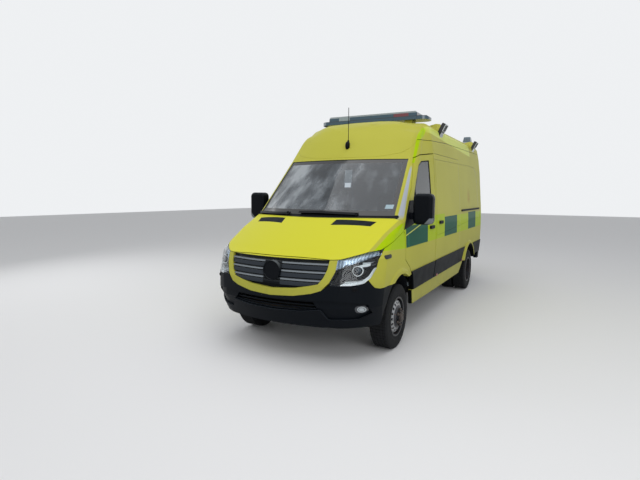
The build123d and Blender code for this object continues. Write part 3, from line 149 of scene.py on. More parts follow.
bpy.ops.mesh.primitive_plane_add(size=60.0, location=(0.0, 8.0, 0.0))
floor = bpy.context.object
floor.name = "floor"
floor_paint = bpy.data.materials.new("studio_floor")
floor_paint.use_nodes = True
feed(floor_paint.node_tree.nodes["Principled BSDF"], {"Base Color": FLOOR_COLOUR, "Roughness": 0.85})
floor.data.materials.append(floor_paint)
print("studio with", len(bpy.data.lights), "lamps")

# %% [markdown]
# A finish on a vehicle changes with the place: a fluorescent bonnet, a chequered band, a black
# scuttle. Images could carry that, but they need unwrapping and blur when seen close. Here a mask is
# worked out from the distance to the middle, the station behind the front axle and the height, so
# its edges stay sharp at any distance and line up across the joints between panels.

# %% A finish and the place that its patterns read
FAR = 9.0               # beyond the van, for a mask with one edge


def new_finish(name, values):
    """A new material with values on its shader's own sockets, and the place on the object."""
    made = bpy.data.materials.new(name)
    made.use_nodes = True
    feed(made.node_tree.nodes["Principled BSDF"], values)
    return made, add_node("TexCoord", {}, made.node_tree).outputs["Object"]


def measured(where):
    """The sideways place, the distance from the middle, the station and the height of a place."""
    sideways, lengthways, height = add_node("SeparateXYZ", {0: where}).outputs
    across = add_node("Math", {0: sideways}, operation="ABSOLUTE").outputs[0]
    along = add_node("Math", {0: lengthways, 1: FRONT_AXLE}, operation="SUBTRACT").outputs[0]
    return sideways, across, along, height


def wear(finish, patterns, *names):
    """Links patterns to a finish's shader and gives CAD nodes the finish; * is left and right."""
    feed(finish.node_tree.nodes["Principled BSDF"], patterns)
    for name in [name.replace("*", side) for name in names for side in ("left", "right")]:
        nodes[name].data.materials.clear()
        nodes[name].data.materials.append(finish)
    print(finish.name, "on", ", ".join(names) or "new pieces")


# %% Masks and patterns
def weighed(start, *pairs):
    """A start value plus each value times its weight."""
    for value, weight in pairs:
        start = add_node("Math", {0: value, 1: weight, 2: start}, operation="MULTIPLY_ADD").outputs[0]
    return start


def fade(value, start, end, first=0.0, last=1.0):
    """Goes from its first to its last number while a value goes from start to end."""
    return add_node("MapRange", {"Value": value, "From Min": start, "From Max": end, "To Min": first,
                                 "To Max": last}).outputs[0]


def span(value, low, high, soft=0.002):
    """A mask that is 1 between two values and fades out over a soft edge."""
    off = add_node("Math", {0: value, 1: (low + high) / 2}, operation="SUBTRACT").outputs[0]
    off = add_node("Math", {0: off}, operation="ABSOLUTE").outputs[0]
    half = (high - low) / 2
    return fade(off, half - soft, half + soft, 1.0, 0.0)


def overlap(*masks):
    """The mask of the places where all the masks hold."""
    held = masks[0]
    for mask in masks[1:]:
        held = add_node("Math", {0: held, 1: mask}, operation="MULTIPLY").outputs[0]
    return held


def laid_over(under, *films):
    """A colour or a number with films laid over it in turn, each where its mask says."""
    for film, mask in films:
        if isinstance(film, float):
            under = add_node("Mix", {0: mask, 2: under, 3: film}).outputs[0]
        else:
            under = add_node("Mix", {0: mask, 6: under, 7: film}, data_type="RGBA").outputs[2]
    return under


def noise_on(where, size, detail=3.0, stretch=(1.0, 1.0, 1.0)):
    """Cloudy noise with features of about this size, in metres."""
    scaled = add_node("Mapping", {"Vector": where, "Scale": stretch}).outputs[0]
    noise = add_node("TexNoise", {"Vector": scaled, "Scale": 1.0 / size, "Detail": detail})
    return noise.outputs["Fac"]


def bumped(height, distance, strength=1.0):
    """The direction of a surface that a pattern raises; the distance is the pattern's real height."""
    bump = add_node("Bump", {"Height": height, "Distance": distance, "Strength": strength})
    return bump.outputs[0]


def distance_to(centre, parts):
    """How far a place is from a point, over the axes that are given."""
    place = add_node("CombineXYZ", parts).outputs[0]
    return add_node("VectorMath", {0: place, 1: centre}, operation="DISTANCE").outputs["Value"]


# %% [markdown]
# The body is sprayed in dull yellow two-pack paint, and fluorescent film is laid over the bonnet and
# the shoulders beside it. Two-pack paint is colour under a clear lacquer, so the shader gets a soft
# base and a sharp coat. The bonnet's film ends at the fold along its side and at its rear edge.

# %% Two-pack paint, with film on the bonnet and shoulders
YELLOW, CLOUDED_YELLOW = "BBB94A", "A8A641"
BONNET_FILM = "CECC36"
SHOULDER_FILM = "A6C404"
FOLD, FOLD_SLOPE = 0.9177, 0.1225       # the bonnet's fold: half width at the front axle, and its slope
REAR_CURVE = -0.3427                    # how far its rear edge comes forward, by the half width squared
REAR_EDGE = -0.243                      # station of that edge in the middle
BONNET_FOOT = 1.034
BAND_FOOT, BAND_TOP = 1.07, 1.345       # foot and top of the side band

body_paint, where = new_finish("two_pack_paint_with_film", {
    "IOR": 1.3, "Coat Weight": 0.12, "Coat Roughness": 0.05, "Coat IOR": 1.25, "Specular IOR Level": 0.1})
sideways, across, along, height = measured(where)
fold = weighed(across, (along, -FOLD_SLOPE))
square = add_node("Math", {0: across, 1: across}, operation="MULTIPLY").outputs[0]
behind = weighed(along, (square, REAR_CURVE))
low_edge = weighed(height, (along, 0.052))
shoulder = overlap(span(fold, FOLD + 0.03, FAR), span(along, -FAR, 0.12),
                   span(low_edge, BAND_FOOT + 0.006, FAR), span(height, 0.0, 1.44))
bonnet = overlap(span(fold, -FAR, FOLD), span(behind, -FAR, REAR_EDGE - 0.001),
                 span(height, BONNET_FOOT, FAR))
colour = laid_over(YELLOW, (CLOUDED_YELLOW, noise_on(where, 0.9, 2.0)), (SHOULDER_FILM, shoulder),
                   (BONNET_FILM, bonnet))
print("paint", YELLOW, "bonnet", BONNET_FILM, "shoulders", SHOULDER_FILM)

# %% [markdown]
# The side band is lime film with dark green blocks, the same on both sides, because it reads the
# distance from the middle. A pale stripe climbs across the first block, and a thin upright line
# crosses it near its front end.

# %% Side band
BAND_FILM = "A9BF08"
GREEN_FILM = "02503C"
EDGE_FILM = "CDD768"
FRONT_BAND_TOP = 1.39           # the band's top on the front door
BLOCKS = ((0.165, 0.98, 1.305), (1.825, 2.62, 1.345), (3.51, 4.195, 1.362))     # ends and top of each block

flank = span(across, 0.90, FAR)
band = overlap(flank, span(along, 0.11, 4.80), span(height, BAND_FOOT, BAND_TOP))
front_band = overlap(flank, span(along, BLOCKS[0][1], BLOCKS[1][0]), span(height, BAND_FOOT, FRONT_BAND_TOP))
colour = laid_over(colour, (BAND_FILM, band), (BAND_FILM, front_band))
for start, end, top in BLOCKS:
    patch = overlap(flank, span(along, start, end), span(height, BAND_FOOT, top))
    colour = laid_over(colour, (GREEN_FILM, patch))
slope = weighed(height, (along, -0.175))
stripe = overlap(flank, span(slope, 1.169, 1.181), span(along, BLOCKS[0][0], 0.72))
post = overlap(flank, span(along, 0.249, 0.258, 0.001), span(height, 1.075, 1.235))
colour = laid_over(colour, (EDGE_FILM, stripe), ("3F8E72", post))
print("band", BAND_FILM, "with", len(BLOCKS), "blocks a side")

# %% [markdown]
# Film also follows slanted parts: grey on the screen pillars and lime on the corners of the cap, each
# between two edges that lean inwards with the height. A pale strip runs along the roof's edge, and
# the scuttle under the windscreen is black.

# %% Film on pillars, corners and roof edge
SLANTED = (     # film, inner and outer edge, each with its lean, heights, stations
    ("A9AFB8", 1.030, 0.0934, 1.139, 0.140, (1.40, 1.96, 0.03), (-FAR, 0.75)),
    (SHOULDER_FILM, 1.086, 0.1175, 1.0435, 0.0862, (2.02, 2.50), (0.5, 1.32)))

for film, inner, inner_lean, outer, outer_lean, heights, stations in SLANTED:
    strip = overlap(span(weighed(across, (height, inner_lean)), inner, FAR),
                    span(weighed(across, (height, outer_lean)), 0.0, outer),
                    span(height, *heights), span(along, *stations))
    colour = laid_over(colour, (film, strip))
roof_line = weighed(height, (along, 0.045))
roof_edge = overlap(span(roof_line, 2.502, FAR, 0.004), span(height, 0.0, 2.525, 0.006),
                    span(along, 1.30, 3.9, 0.05))
scuttle = overlap(span(behind, REAR_EDGE + 0.001, FAR), span(height, 0.0, 1.424),
                  span(along, -FAR, 0.09), span(fold, 0.0, 0.90))
colour = laid_over(colour, (EDGE_FILM, roof_edge), ("17191C", scuttle))
print(len(SLANTED), "slanted films, roof edge and scuttle")

# %% [markdown]
# Road film gathers on the sills, densest at the foot, and noise breaks it up. An old brown mark on
# the side fades out round its middle in the same way.

# %% Road dirt
SILL_FOOT, DIRT_TOP = 0.36, 0.95
MARK_PLACE = (0.96, at(3.6), 1.62)

low_dirt = fade(height, SILL_FOOT, DIRT_TOP, 0.55, 0.0)
low_dirt = overlap(low_dirt, noise_on(where, 0.05, 6.0, (1.0, 1.0, 0.35)))
from_mark = add_node("VectorMath", {0: where, 1: MARK_PLACE}, operation="DISTANCE").outputs[1]
mark = overlap(fade(from_mark, 0.05, 0.17, 0.75, 0.0), noise_on(where, 0.07, 4.0))
colour = laid_over(colour, ("6E6A52", low_dirt), ("9A6A1E", mark))
print("dirt up to", DIRT_TOP, "and a mark at", MARK_PLACE)

# %% [markdown]
# The panels behind the skin are bare lining, which the direction of the surface tells: there it
# faces the inside of the van. It also finds the faces round the arches that look forwards or
# inwards, under black guard coat. It is taken into the object's own space, so that a door keeps its
# colours when it swings.

# %% Guard coat and lining, by the way a surface faces
GUARD_COAT = "0D0E10"
MIDDLE = (0.0, at(2.0), 1.3)    # a point inside the van, from which a skin looks away
BULKHEAD = 1.37                 # station of the wall behind the cab

facing = add_node("NewGeometry", {}, body_paint.node_tree).outputs["True Normal"]
facing = add_node("VectorTransform", {0: facing}, vector_type="NORMAL",
                  convert_from="WORLD", convert_to="OBJECT").outputs[0]
side_facing, ahead_facing, _ = add_node("SeparateXYZ", {0: facing}).outputs
side_facing = add_node("Math", {0: sideways, 1: side_facing}, operation="MULTIPLY").outputs[0]
guard = overlap(span(ahead_facing, -FAR, -0.35, 0.05), span(along, 0.28, 0.56), span(height, 0.0, 0.80))
rear_guard = overlap(span(side_facing, -FAR, 0.35, 0.1), span(along, 2.9, 4.45),
                     span(height, 0.0, 1.05), span(across, 0.6, FAR))
outwards = add_node("VectorMath", {0: where, 1: MIDDLE}, operation="SUBTRACT").outputs[0]
outwards = add_node("VectorMath", {0: outwards, 1: facing}, operation="DOT_PRODUCT").outputs[1]
low_cab = overlap(span(along, -FAR, BULKHEAD), span(height, 0.0, 1.0))
inside = overlap(span(outwards, -FAR, -0.62, 0.03), span(along, -0.3, FAR), weighed(1.0, (low_cab, -1.0)))
lining = laid_over("55585C", ("C9CBCA", span(along, BULKHEAD, FAR)))
colour = laid_over(colour, (GUARD_COAT, guard), (lining, inside), (GUARD_COAT, rear_guard))
print("guard coat and lining masks made")

# %% [markdown]
# Sprayed paint has orange peel, drawn here coarser than the real 2 mm so that it shows. Folded sheet
# has no sharp edges either, so a Bevel node rounds the shading of each edge by 5 mm, except on the
# brow of the cap, where the joint is filled flush.

# %% Orange peel and folded edges
EDGE_RADIUS = 0.005

brow = overlap(span(along, -FAR, 1.0), span(height, 1.9, FAR))
radius = weighed(EDGE_RADIUS, (brow, 0.0001 - EDGE_RADIUS))
soft_edge = add_node("Bevel", {"Radius": radius}, samples=4).outputs[0]
peel = add_node("Bump", {"Height": noise_on(where, 0.012, 2.0), "Distance": 0.0004, "Strength": 0.25,
                         "Normal": soft_edge}).outputs[0]
wear(body_paint, {"Base Color": colour, "Roughness": laid_over(0.42, (0.62, inside), (0.6, scuttle)),
                  "Normal": peel},
     "roof", "cab_frame", "grille_surround", "fenders", "sliding_doors", "side_panels", "sills", "bonnet",
     "front_door_*", "rear_door_*")

# %% [markdown]
# Glass looks like glass only when it bends and reflects, so each pane transmits, with a grey-green
# body colour. A pale film of road dust, which also stands in for a painted reflection of the sky,
# scatters light, so a pane gets less transmission and more roughness where a streaky noise says.

# %% Tempered glass with a dust film
def pane(name, tint, clearness, film, lean, *names):
    """Window glass with a pale film of dust and painted reflection, thicker towards the vehicle's right by
    the lean.
    """
    glass, where = new_finish(name, {"IOR": 1.5, "Specular IOR Level": 0.6})
    cloud = weighed(noise_on(where, 0.28, 4.0, (1.6, 1.0, 0.35)), (measured(where)[0], -lean))
    # The pale film is dust and a painted reflection of the sky
    dust_and_painted_light = fade(cloud, 0.38, 0.78, 0.0, film)
    colour = laid_over(tint, ("AEB4B8", dust_and_painted_light))
    clear = weighed(clearness, (dust_and_painted_light, -0.95))
    rough = weighed(0.02, (dust_and_painted_light, 0.25))
    wear(glass, {"Base Color": colour, "Transmission Weight": clear, "Roughness": rough}, *names)
    return glass, where, colour, clear


pane("tempered_side_glass", "586268", 0.9, 0.15, 0.13, "door_glass_*")
pane("tinted_rear_glass", "1C2125", 0.8, 0.15, 0.13, "rear_glass_*")

# %% [markdown]
# The laminated windscreen has a black enamel border that hides its glue, a blank pale sticker in its
# lower left corner, and the rain sensor's housing behind it. The housing hardly shows through dark
# glass, so its pale face is also drawn in the pane: a white foot and a grey-green top, on a slant.

# %% Laminated windscreen
ENAMEL = "0B0C0E"
SIDE_EDGE, SIDE_LEAN = 1.0119, 0.1014       # side edge of the windscreen, and its lean
FOOT, TOP = 1.419, 2.070
FACE_HEIGHTS = (1.722, 1.936)

# On the windscreen the pale film is strong: dust and a painted reflection, thickest towards the vehicle's
# right
screen_glass, where, colour, clear = pane("laminated_windscreen_glass", "4B5763", 0.84, 0.72, 0.22)
sideways, across, along, height = measured(where)
open_pane = overlap(span(weighed(across, (height, SIDE_LEAN)), 0.0, SIDE_EDGE - 0.048),
                    span(height, FOOT + 0.052, TOP - 0.05))
sticker = overlap(span(sideways, 0.748, 0.826, 0.003), span(height, 1.492, 1.536))
slant = weighed(-0.852, (sideways, 1.0), (height, 0.44))
housing_face = overlap(span(slant, 0.117, 0.208, 0.004), span(height, *FACE_HEIGHTS, 0.004))
white_foot = overlap(span(slant, 0.127, 0.198, 0.004), span(height, FACE_HEIGHTS[0] + 0.002, 1.778, 0.004))
colour = laid_over(ENAMEL, (colour, open_pane), ("8FA9B5", sticker),
                   ("8597A0", weighed(0.0, (housing_face, 0.4))),
                   ("C6D2DC", weighed(0.0, (white_foot, 0.75))))
blocked = weighed(1.0, (sticker, -0.9), (housing_face, -0.4), (white_foot, -0.3))
clear = overlap(clear, blocked, open_pane)
wear(screen_glass, {"Base Color": colour, "Transmission Weight": clear}, "windscreen")

# %% [markdown]
# Bumper, mouldings and mirrors are moulded polypropylene, coloured through and grained by the mould.
# Grain of about a third of a millimetre doesn't show from four metres, so it is drawn at 4 mm. The
# faces that look up get a paler colour, a painted highlight from the sky, broken up by cloudy noise.

# %% Moulded plastics
def moulded(name, code, sky_highlight, roughness, *names, grain=0.004):
    """Grained plastic with a painted highlight where it faces the sky, with its place and its colour."""
    plastic, where = new_finish(name, {"IOR": 1.35, "Specular IOR Level": 0.12})
    facing = add_node("TexCoord", {}, plastic.node_tree).outputs["Normal"]
    upward = add_node("SeparateXYZ", {0: facing}).outputs[2]
    cloud = noise_on(where, 0.16, 4.0)
    # Painted highlight: a paler colour on faces that look up, where the noise says
    colour = laid_over(code, (sky_highlight, overlap(fade(upward, 0.15, 0.95), cloud)))
    wear(plastic, {"Base Color": colour, "Roughness": weighed(roughness - 0.08, (cloud, 0.16)),
                   "Normal": bumped(noise_on(where, grain, 2.0), 0.0003, 0.5)}, *names)
    return plastic, where, colour


moulded("grained_polypropylene", "0D1116", "444A52", 0.5, "front_bumper", "side_trim", "door_trim_*",
        "rear_bumper", "bonnet_vents")
moulded("sprayed_arch_liner", "14161A", "2A2A28", 0.8, "wheel_housings", "fuel_tank", grain=0.012)
black_nylon = moulded("black_nylon", "0E0F12", "24262A", 0.35, "wipers", "antenna")[0]

# %% [markdown]
# The grille is satin plastic, and each of its three blades has a painted highlight along its upper
# strip and a darker grey strip below it. Only the faces that look forwards take them, and they stop
# short of the blank pad.

# %% Grille
BLADE_TOPS = (0.995, 0.918, 0.841)
BLADE_HIGHLIGHT_AND_GREY_STRIPS = ((-0.015, 0.0, "7E858A"), (-0.062, -0.026, "33383E"))    # foot and top below a blade's top

grille_plastic, where, colour = moulded("satin_grille_plastic", "101317", "7E8488", 0.3)
_, across, _, height = measured(where)
facing = add_node("TexCoord", {}, grille_plastic.node_tree).outputs["Normal"]
forwards = span(add_node("SeparateXYZ", {0: facing}).outputs[1], -FAR, -0.3, 0.05)
beside_pad = span(across, 0.10, FAR)
# A painted highlight on each blade's upper strip, and a darker grey strip below it
for top in BLADE_TOPS:
    for foot, head, code in BLADE_HIGHLIGHT_AND_GREY_STRIPS:
        strip = span(height, top + foot - 0.001, top + head + 0.001, 0.0005)
        colour = laid_over(colour, (code, overlap(beside_pad, strip, forwards)))
wear(grille_plastic, {"Base Color": colour}, "grille")

# %% [markdown]
# A door mirror is one housing with three finishes: grained plastic, a silvered glass that sits in a
# shallow recess on its rear side, and a pale lamp lens at the lower outer corner.

# %% Mirror housing, glass and lamp
GLASS_STATIONS = (0.3815, 0.3860)

mirror, where, colour = moulded("mirror_housing", "0B0E13", "2A2E34", 0.5)
_, across, along, height = measured(where)
silvered = overlap(span(along, *GLASS_STATIONS, 0.0003), span(across, 1.015, FAR))
outer_corner = span(weighed(across, (height, -0.9)), -0.066, FAR, 0.004)
lens = overlap(outer_corner, span(height, 1.328, 1.392, 0.003), span(along, -FAR, 0.352))
wear(mirror, {"Base Color": laid_over(colour, ("D5DADD", silvered), ("70757A", lens)), "Metallic": silvered,
              "Roughness": laid_over(0.45, (0.03, silvered), (0.12, lens))},
     "door_mirror_*")

# %% [markdown]
# The headlight is a dark bucket behind clear polycarbonate. Inside it a metallised reflector fills
# the top, a ring with a glass ball throws the beam, a white light guide follows the lower edge and a
# pale brow runs beside the ring. Each is a place in the bucket, so masks tell them apart.

# %% Headlights
RING_PLACE = (0.796, 0.0, 0.928)
GUIDE_SPANS = ((0.70, 0.224), (0.95, 0.147))    # middle and reach of the guide's oval, across and up
GUIDE_POWER = 2.8                               # 2 would be an ellipse, more is squarer

bucket, where = new_finish("headlight_bucket", {"Specular IOR Level": 0.3})
_, across, along, height = measured(where)
reflector = overlap(span(weighed(height, (across, -0.40)), 0.690, FAR, 0.004), span(height, 0.93, FAR),
                    span(along, -FAR, -0.42))
flutes = add_node("TexWave", {"Vector": where, "Scale": 14.0, "Distortion": 1.5}).outputs["Fac"]
chrome = laid_over("6F8192", ("B4C2D0", flutes))
from_ring = distance_to(RING_PLACE, {0: across, 2: height})
ring = overlap(span(from_ring, 0.0425, 0.0494, 0.0004), span(along, -FAR, -0.64))
ball = overlap(span(from_ring, -1.0, 0.0345, 0.0008), span(along, -FAR, -0.655))
bend = 0.0
for value, (middle, reach) in zip((across, height), GUIDE_SPANS):
    away = add_node("Math", {0: value, 1: middle}, operation="SUBTRACT").outputs[0]
    away = add_node("Math", {0: away}, operation="ABSOLUTE").outputs[0]
    away = add_node("Math", {0: weighed(0.0, (away, 1.0 / reach)), 1: GUIDE_POWER},
                    operation="POWER").outputs[0]
    bend = weighed(bend, (away, 1.0))
guide = overlap(span(bend, 0.66, 1.13, 0.01), span(across, 0.69, FAR), span(height, 0.0, 0.953))
brow = overlap(span(across, 0.80, 0.875), span(height, 0.962, 0.994), span(along, -FAR, -0.45))
side_lamp = span(along, -0.47, -0.30)
colour = laid_over("1A1D22", (chrome, reflector), ("E9EDEE", ring), ("E9EDEE", guide), ("E9EDEE", brow),
                   ("3B4650", ball), ("24262B", side_lamp))
wear(bucket, {"Base Color": colour, "Metallic": weighed(0.0, (reflector, 0.55)),
              "Roughness": laid_over(0.5, (0.2, reflector), (0.06, ball))}, "headlight_housings")

lens, where = new_finish("clear_polycarbonate", {"Base Color": "F2F6F8", "Transmission Weight": 1.0,
                                                 "IOR": 1.25, "Specular IOR Level": 0.5})
wear(lens, {"Roughness": weighed(0.015, (noise_on(where, 0.08), 0.05))}, "headlight_lenses")

# %% [markdown]
# The roof bar and the beacons are coloured polycarbonate domes over dark bases. Light comes back from
# inside such a dome, so it is drawn as a deep colour under a sharp coat, with the thin dark joints
# between its modules, one clear module and one red one.

# %% Roof bar and beacons
MODULE = 0.1635                 # half the pitch of the joints between the bar's modules
BAR_ROW = (2.700, 2.742)        # foot and top of the upper row

bar, where = new_finish("tinted_polycarbonate", {"Coat Weight": 0.8, "Coat Roughness": 0.05,
                                                 "Roughness": 0.3})
sideways, across, along, height = measured(where)
ribs = add_node("TexWave", {"Vector": where, "Scale": 22.0}, bands_direction="X").outputs["Fac"]
folded = add_node("Math", {0: sideways, 1: MODULE}, operation="PINGPONG").outputs[0]
joint = overlap(span(folded, -1.0, 0.004, 0.001), span(height, 2.0, 2.735))
upper_row = span(height, *BAR_ROW)
front_bar = span(along, 0.0, 1.60)
clear_module = overlap(upper_row, span(sideways, -0.50, -0.33), front_bar)
red_module = overlap(upper_row, span(sideways, 0.33, 0.54), front_bar)
lid = overlap(span(height, BAR_ROW[1], FAR), span(across, 0.0, 0.66), span(along, 0.0, 3.0))
groove = span(height, 2.692, 2.7005, 0.001)
colour = laid_over("0C3040", ("17485C", ribs), ("081A22", groove), ("0D2734", joint),
                   ("87959B", clear_module), ("661A26", red_module), ("8E989E", lid))
wear(bar, {"Base Color": colour, "Normal": bumped(ribs, 0.001, 0.4)}, "light_bar", "rear_beacons")

# %% [markdown]
# A scene lamp is a black head on a painted wedge, tipped down, with a fluted lens. A fog lamp is a
# round glass in a dark rim, and a tail lamp is red acrylic with an amber and a clear field.

# %% Scene lamps, fog lamps and tail lamps
SPOT_PLACE = (0.838, 0.0, 0.562)
TIP = (0.883, -0.469)           # the way that a scene lamp looks, across and in height

lamp, where = new_finish("work_lamp", {"Coat Weight": 0.3})
_, across, _, height = measured(where)
tipped = weighed(0.0, (across, TIP[0]), (height, TIP[1]))
head = span(tipped, -0.4375, FAR, 0.001)
face = overlap(span(tipped, -0.3855, -0.3785, 0.0006), head)
stripes = add_node("TexWave", {"Vector": where, "Scale": 20.0}, bands_direction="Y").outputs["Fac"]
flutes = laid_over("70777B", ("C9D2D6", stripes))
wear(lamp, {"Base Color": laid_over(YELLOW, ("121316", head), (flutes, face)),
            "Roughness": laid_over(0.4, (0.12, face))}, "scene_lamps")

fog, where = new_finish("fog_lamp_glass", {"Roughness": 0.12, "Coat Weight": 0.6})
_, across, _, height = measured(where)
from_spot = distance_to(SPOT_PLACE, {0: across, 2: height})
colour = laid_over("2A2E34", ("A9B1B6", span(from_spot, -1.0, 0.030, 0.003)),
                   ("1B1E23", span(from_spot, 0.018, 0.022, 0.001)))
wear(fog, {"Base Color": colour}, "fog_lamps")

tail, where = new_finish("tail_lamp_acrylic", {"Roughness": 0.14, "Coat Weight": 0.7})
height = measured(where)[3]
prisms = add_node("TexWave", {"Vector": where, "Scale": 30.0}, bands_direction="Z").outputs["Fac"]
colour = laid_over("6E0B10", ("96151A", prisms), ("B5611A", span(height, 1.19, 1.31)),
                   ("C7C9C6", span(height, 1.06, 1.12)))
wear(tail, {"Base Color": colour, "Normal": bumped(prisms, 0.001, 0.5)}, "tail_lamps")

# %% [markdown]
# Under the floor everything is painted black and grey with road dust, and rust shows where stones
# have chipped the paint. The wheels are steel, sprayed silver, and painted darker on hub and rim:
# dust, and painted shade in the hollow of the hub and on the rim's lip.

# %% Chassis and wheels
WHEELBASE = 3.665
TYRE_RADIUS = 0.345
# Within the hub radius and beyond the rim radius the wheel is painted darker: dust and painted shade
HUB_RADIUS, RIM_RADIUS = 0.123, 0.176       # within and beyond these the wheel is dusty

steel, where = new_finish("chassis_paint_with_dust", {"Specular IOR Level": 0.35})
cloud = noise_on(where, 0.10, 5.0)
rust = fade(noise_on(where, 0.03, 6.0), 0.58, 0.68)
wear(steel, {"Base Color": laid_over("1B1C1E", ("4A463E", cloud), ("5A3018", rust)),
             "Roughness": weighed(0.55, (cloud, 0.3)), "Normal": bumped(noise_on(where, 0.01), 0.0005, 0.6)},
     "front_suspension", "chassis_frame", "rear_axle", "engine_block", "exhaust", "knuckle_*")

wheel, where = new_finish("silver_wheel_paint", {"Metallic": 0.75, "Coat Weight": 0.1})
_, _, along, height = measured(where)
cloud = noise_on(where, 0.06, 5.0)
at_rear = add_node("Math", {0: along, 1: WHEELBASE / 2}, operation="GREATER_THAN").outputs[0]
from_axle = weighed(along, (at_rear, -WHEELBASE))
radius = distance_to((0.0, 0.0, TYRE_RADIUS), {1: from_axle, 2: height})
# Dust and painted shade on the hub and the rim's lip
dust_and_painted_light = laid_over("2A2C31", ("45474B", cloud))
rust = fade(noise_on(where, 0.02, 6.0), 0.60, 0.70, 0.0, 0.8)
colour = laid_over("B2B4B6", ("7E8185", cloud), (dust_and_painted_light, span(radius, -1.0, HUB_RADIUS, 0.004)),
                   (dust_and_painted_light, span(radius, RIM_RADIUS, FAR, 0.004)), ("6B4024", rust))
wear(wheel, {"Base Color": colour, "Roughness": weighed(0.30, (cloud, 0.25))},
     "front_rim_*", "rear_rims_*")

# %% [markdown]
# Tyre rubber is dull and nearly black, and paler where dust lies. The rear step is tread plate:
# aluminium rolled with raised bars.

# %% Rubber and tread plate
rubber, where = new_finish("tyre_rubber_with_road_dust", {"Specular IOR Level": 0.15})
cloud = noise_on(where, 0.05, 6.0)
wear(rubber, {"Base Color": laid_over("0D0F11", ("27282A", cloud)), "Roughness": weighed(0.75, (cloud, 0.2)),
              "Normal": bumped(noise_on(where, 0.006), 0.0005, 0.5)},
     "front_tyre_*", "rear_tyres_*")

alloy, where = new_finish("tread_plate_aluminium", {"Metallic": 1.0, "Base Color": "B9BCBE"})
tread = add_node("TexWave", {"Vector": where, "Scale": 20.0}, bands_direction="DIAGONAL").outputs["Fac"]
wear(alloy, {"Roughness": weighed(0.28, (noise_on(where, 0.03, 4.0), 0.3)),
             "Normal": bumped(tread, 0.0015, 0.8)}, "rear_step")

# %% [markdown]
# The cab is grained grey plastic and dark woven cloth, and the load space has a vinyl floor and
# painted hoops. Little of it shows, but what does has to be dark and soft.

# %% Cab and load space
FLOOR_TOP = 0.6405

moulded("cab_plastic", "2E3034", "5C5F63", 0.62, "dashboard", "bulkhead", "steering_wheel")

cloth, where = new_finish("woven_seat_cloth", {"Roughness": 0.9, "Sheen Weight": 0.3})
weave = add_node("TexChecker", {"Vector": where, "Scale": 240.0}).outputs["Fac"]
wear(cloth, {"Base Color": laid_over("23262C", ("343941", weave), ("3F444C", noise_on(where, 0.2, 2.0))),
             "Normal": bumped(weave, 0.0005, 0.4)}, "cab_seats")

panel, where = new_finish("lining_panel_and_vinyl", {"Specular IOR Level": 0.4})
height = measured(where)[3]
speckle = noise_on(where, 0.004, 2.0)
vinyl = laid_over("4F5A60", ("6B757A", speckle))
wear(panel, {"Base Color": laid_over("BFC2C2", (vinyl, span(height, 0.0, FLOOR_TOP, 0.001))),
             "Roughness": weighed(0.45, (speckle, 0.2))}, "floor_pan", "body_hoops")

# %% [markdown]
# New pieces are modelled as by hand: a primitive is placed, shaped in edit mode and finished with
# modifiers. A few small helpers keep the rules that every piece shares: nothing else is selected
# while it is made, its place ends up in its mesh, its faces point outwards and it rides on a body.

# %% Helpers that select and open
def fresh():
    """Leaves edit mode and deselects everything, because an operator acts on all that is selected."""
    if bpy.context.object and bpy.context.object.mode != "OBJECT":
        bpy.ops.object.mode_set(mode="OBJECT")
    bpy.ops.object.select_all(action="DESELECT")


def take(piece):
    """Makes one object the only selected and active one."""
    fresh()
    piece.select_set(True)
    bpy.context.view_layer.objects.active = piece


def opened(piece):
    """Takes one object into edit mode, with all of its mesh selected."""
    take(piece)
    bpy.ops.object.mode_set(mode="EDIT")
    bpy.ops.mesh.select_all(action="SELECT")


def pick(test):
    """In edit mode, selects the faces whose centre and normal pass a test."""
    bpy.ops.mesh.select_mode(type="FACE")
    bpy.ops.mesh.select_all(action="DESELECT")
    bpy.ops.object.mode_set(mode="OBJECT")
    for face in bpy.context.object.data.polygons:
        face.select = bool(test(face.center, face.normal))
    bpy.ops.object.mode_set(mode="EDIT")


def drawn(move):
    """In edit mode, draws the selected faces out by a move."""
    bpy.ops.mesh.extrude_region_move(TRANSFORM_OT_translate={"value": move})


# %% Helpers that start, shape and copy
ACROSS = (0.0, math.pi / 2, 0.0)        # the turn that lays a cylinder across the vehicle
ALONG = (math.pi / 2, 0.0, 0.0)         # the turn that lays it along the vehicle
MIRROR = Matrix.Diagonal((-1.0, 1.0, 1.0, 1.0))


def drum(sides, radius, depth, place, turn=(0.0, 0.0, 0.0)):
    """A cylinder to shape, with its turn in its mesh."""
    fresh()
    bpy.ops.mesh.primitive_cylinder_add(vertices=sides, radius=radius, depth=depth, location=place,
                                        rotation=turn)
    bpy.ops.object.transform_apply(location=False, rotation=True, scale=False)
    return bpy.context.object


def block(size, place):
    """A box to shape, with its size in its mesh."""
    fresh()
    bpy.ops.mesh.primitive_cube_add(size=1.0, location=place, scale=size)
    bpy.ops.object.transform_apply(location=False, rotation=False, scale=True)
    return bpy.context.object


def stepped(piece, test, *steps):
    """Insets the faces that pass a test and draws them out, one step after another."""
    opened(piece)
    pick(test)
    for inset, move in steps:
        bpy.ops.mesh.inset(thickness=inset)
        drawn(move)


def rounded(piece, width, segments):
    """Bevels the edges of a piece."""
    bevel = piece.modifiers.new("edges", "BEVEL")
    bevel.width, bevel.segments, bevel.limit_method = width, segments, "ANGLE"
    take(piece)
    bpy.ops.object.modifier_apply(modifier=bevel.name)


def twin(piece, change):
    """A copy with its own mesh, placed by a matrix."""
    take(piece)
    bpy.ops.object.duplicate()
    made = bpy.context.object
    made.matrix_world = change @ piece.matrix_world
    return made


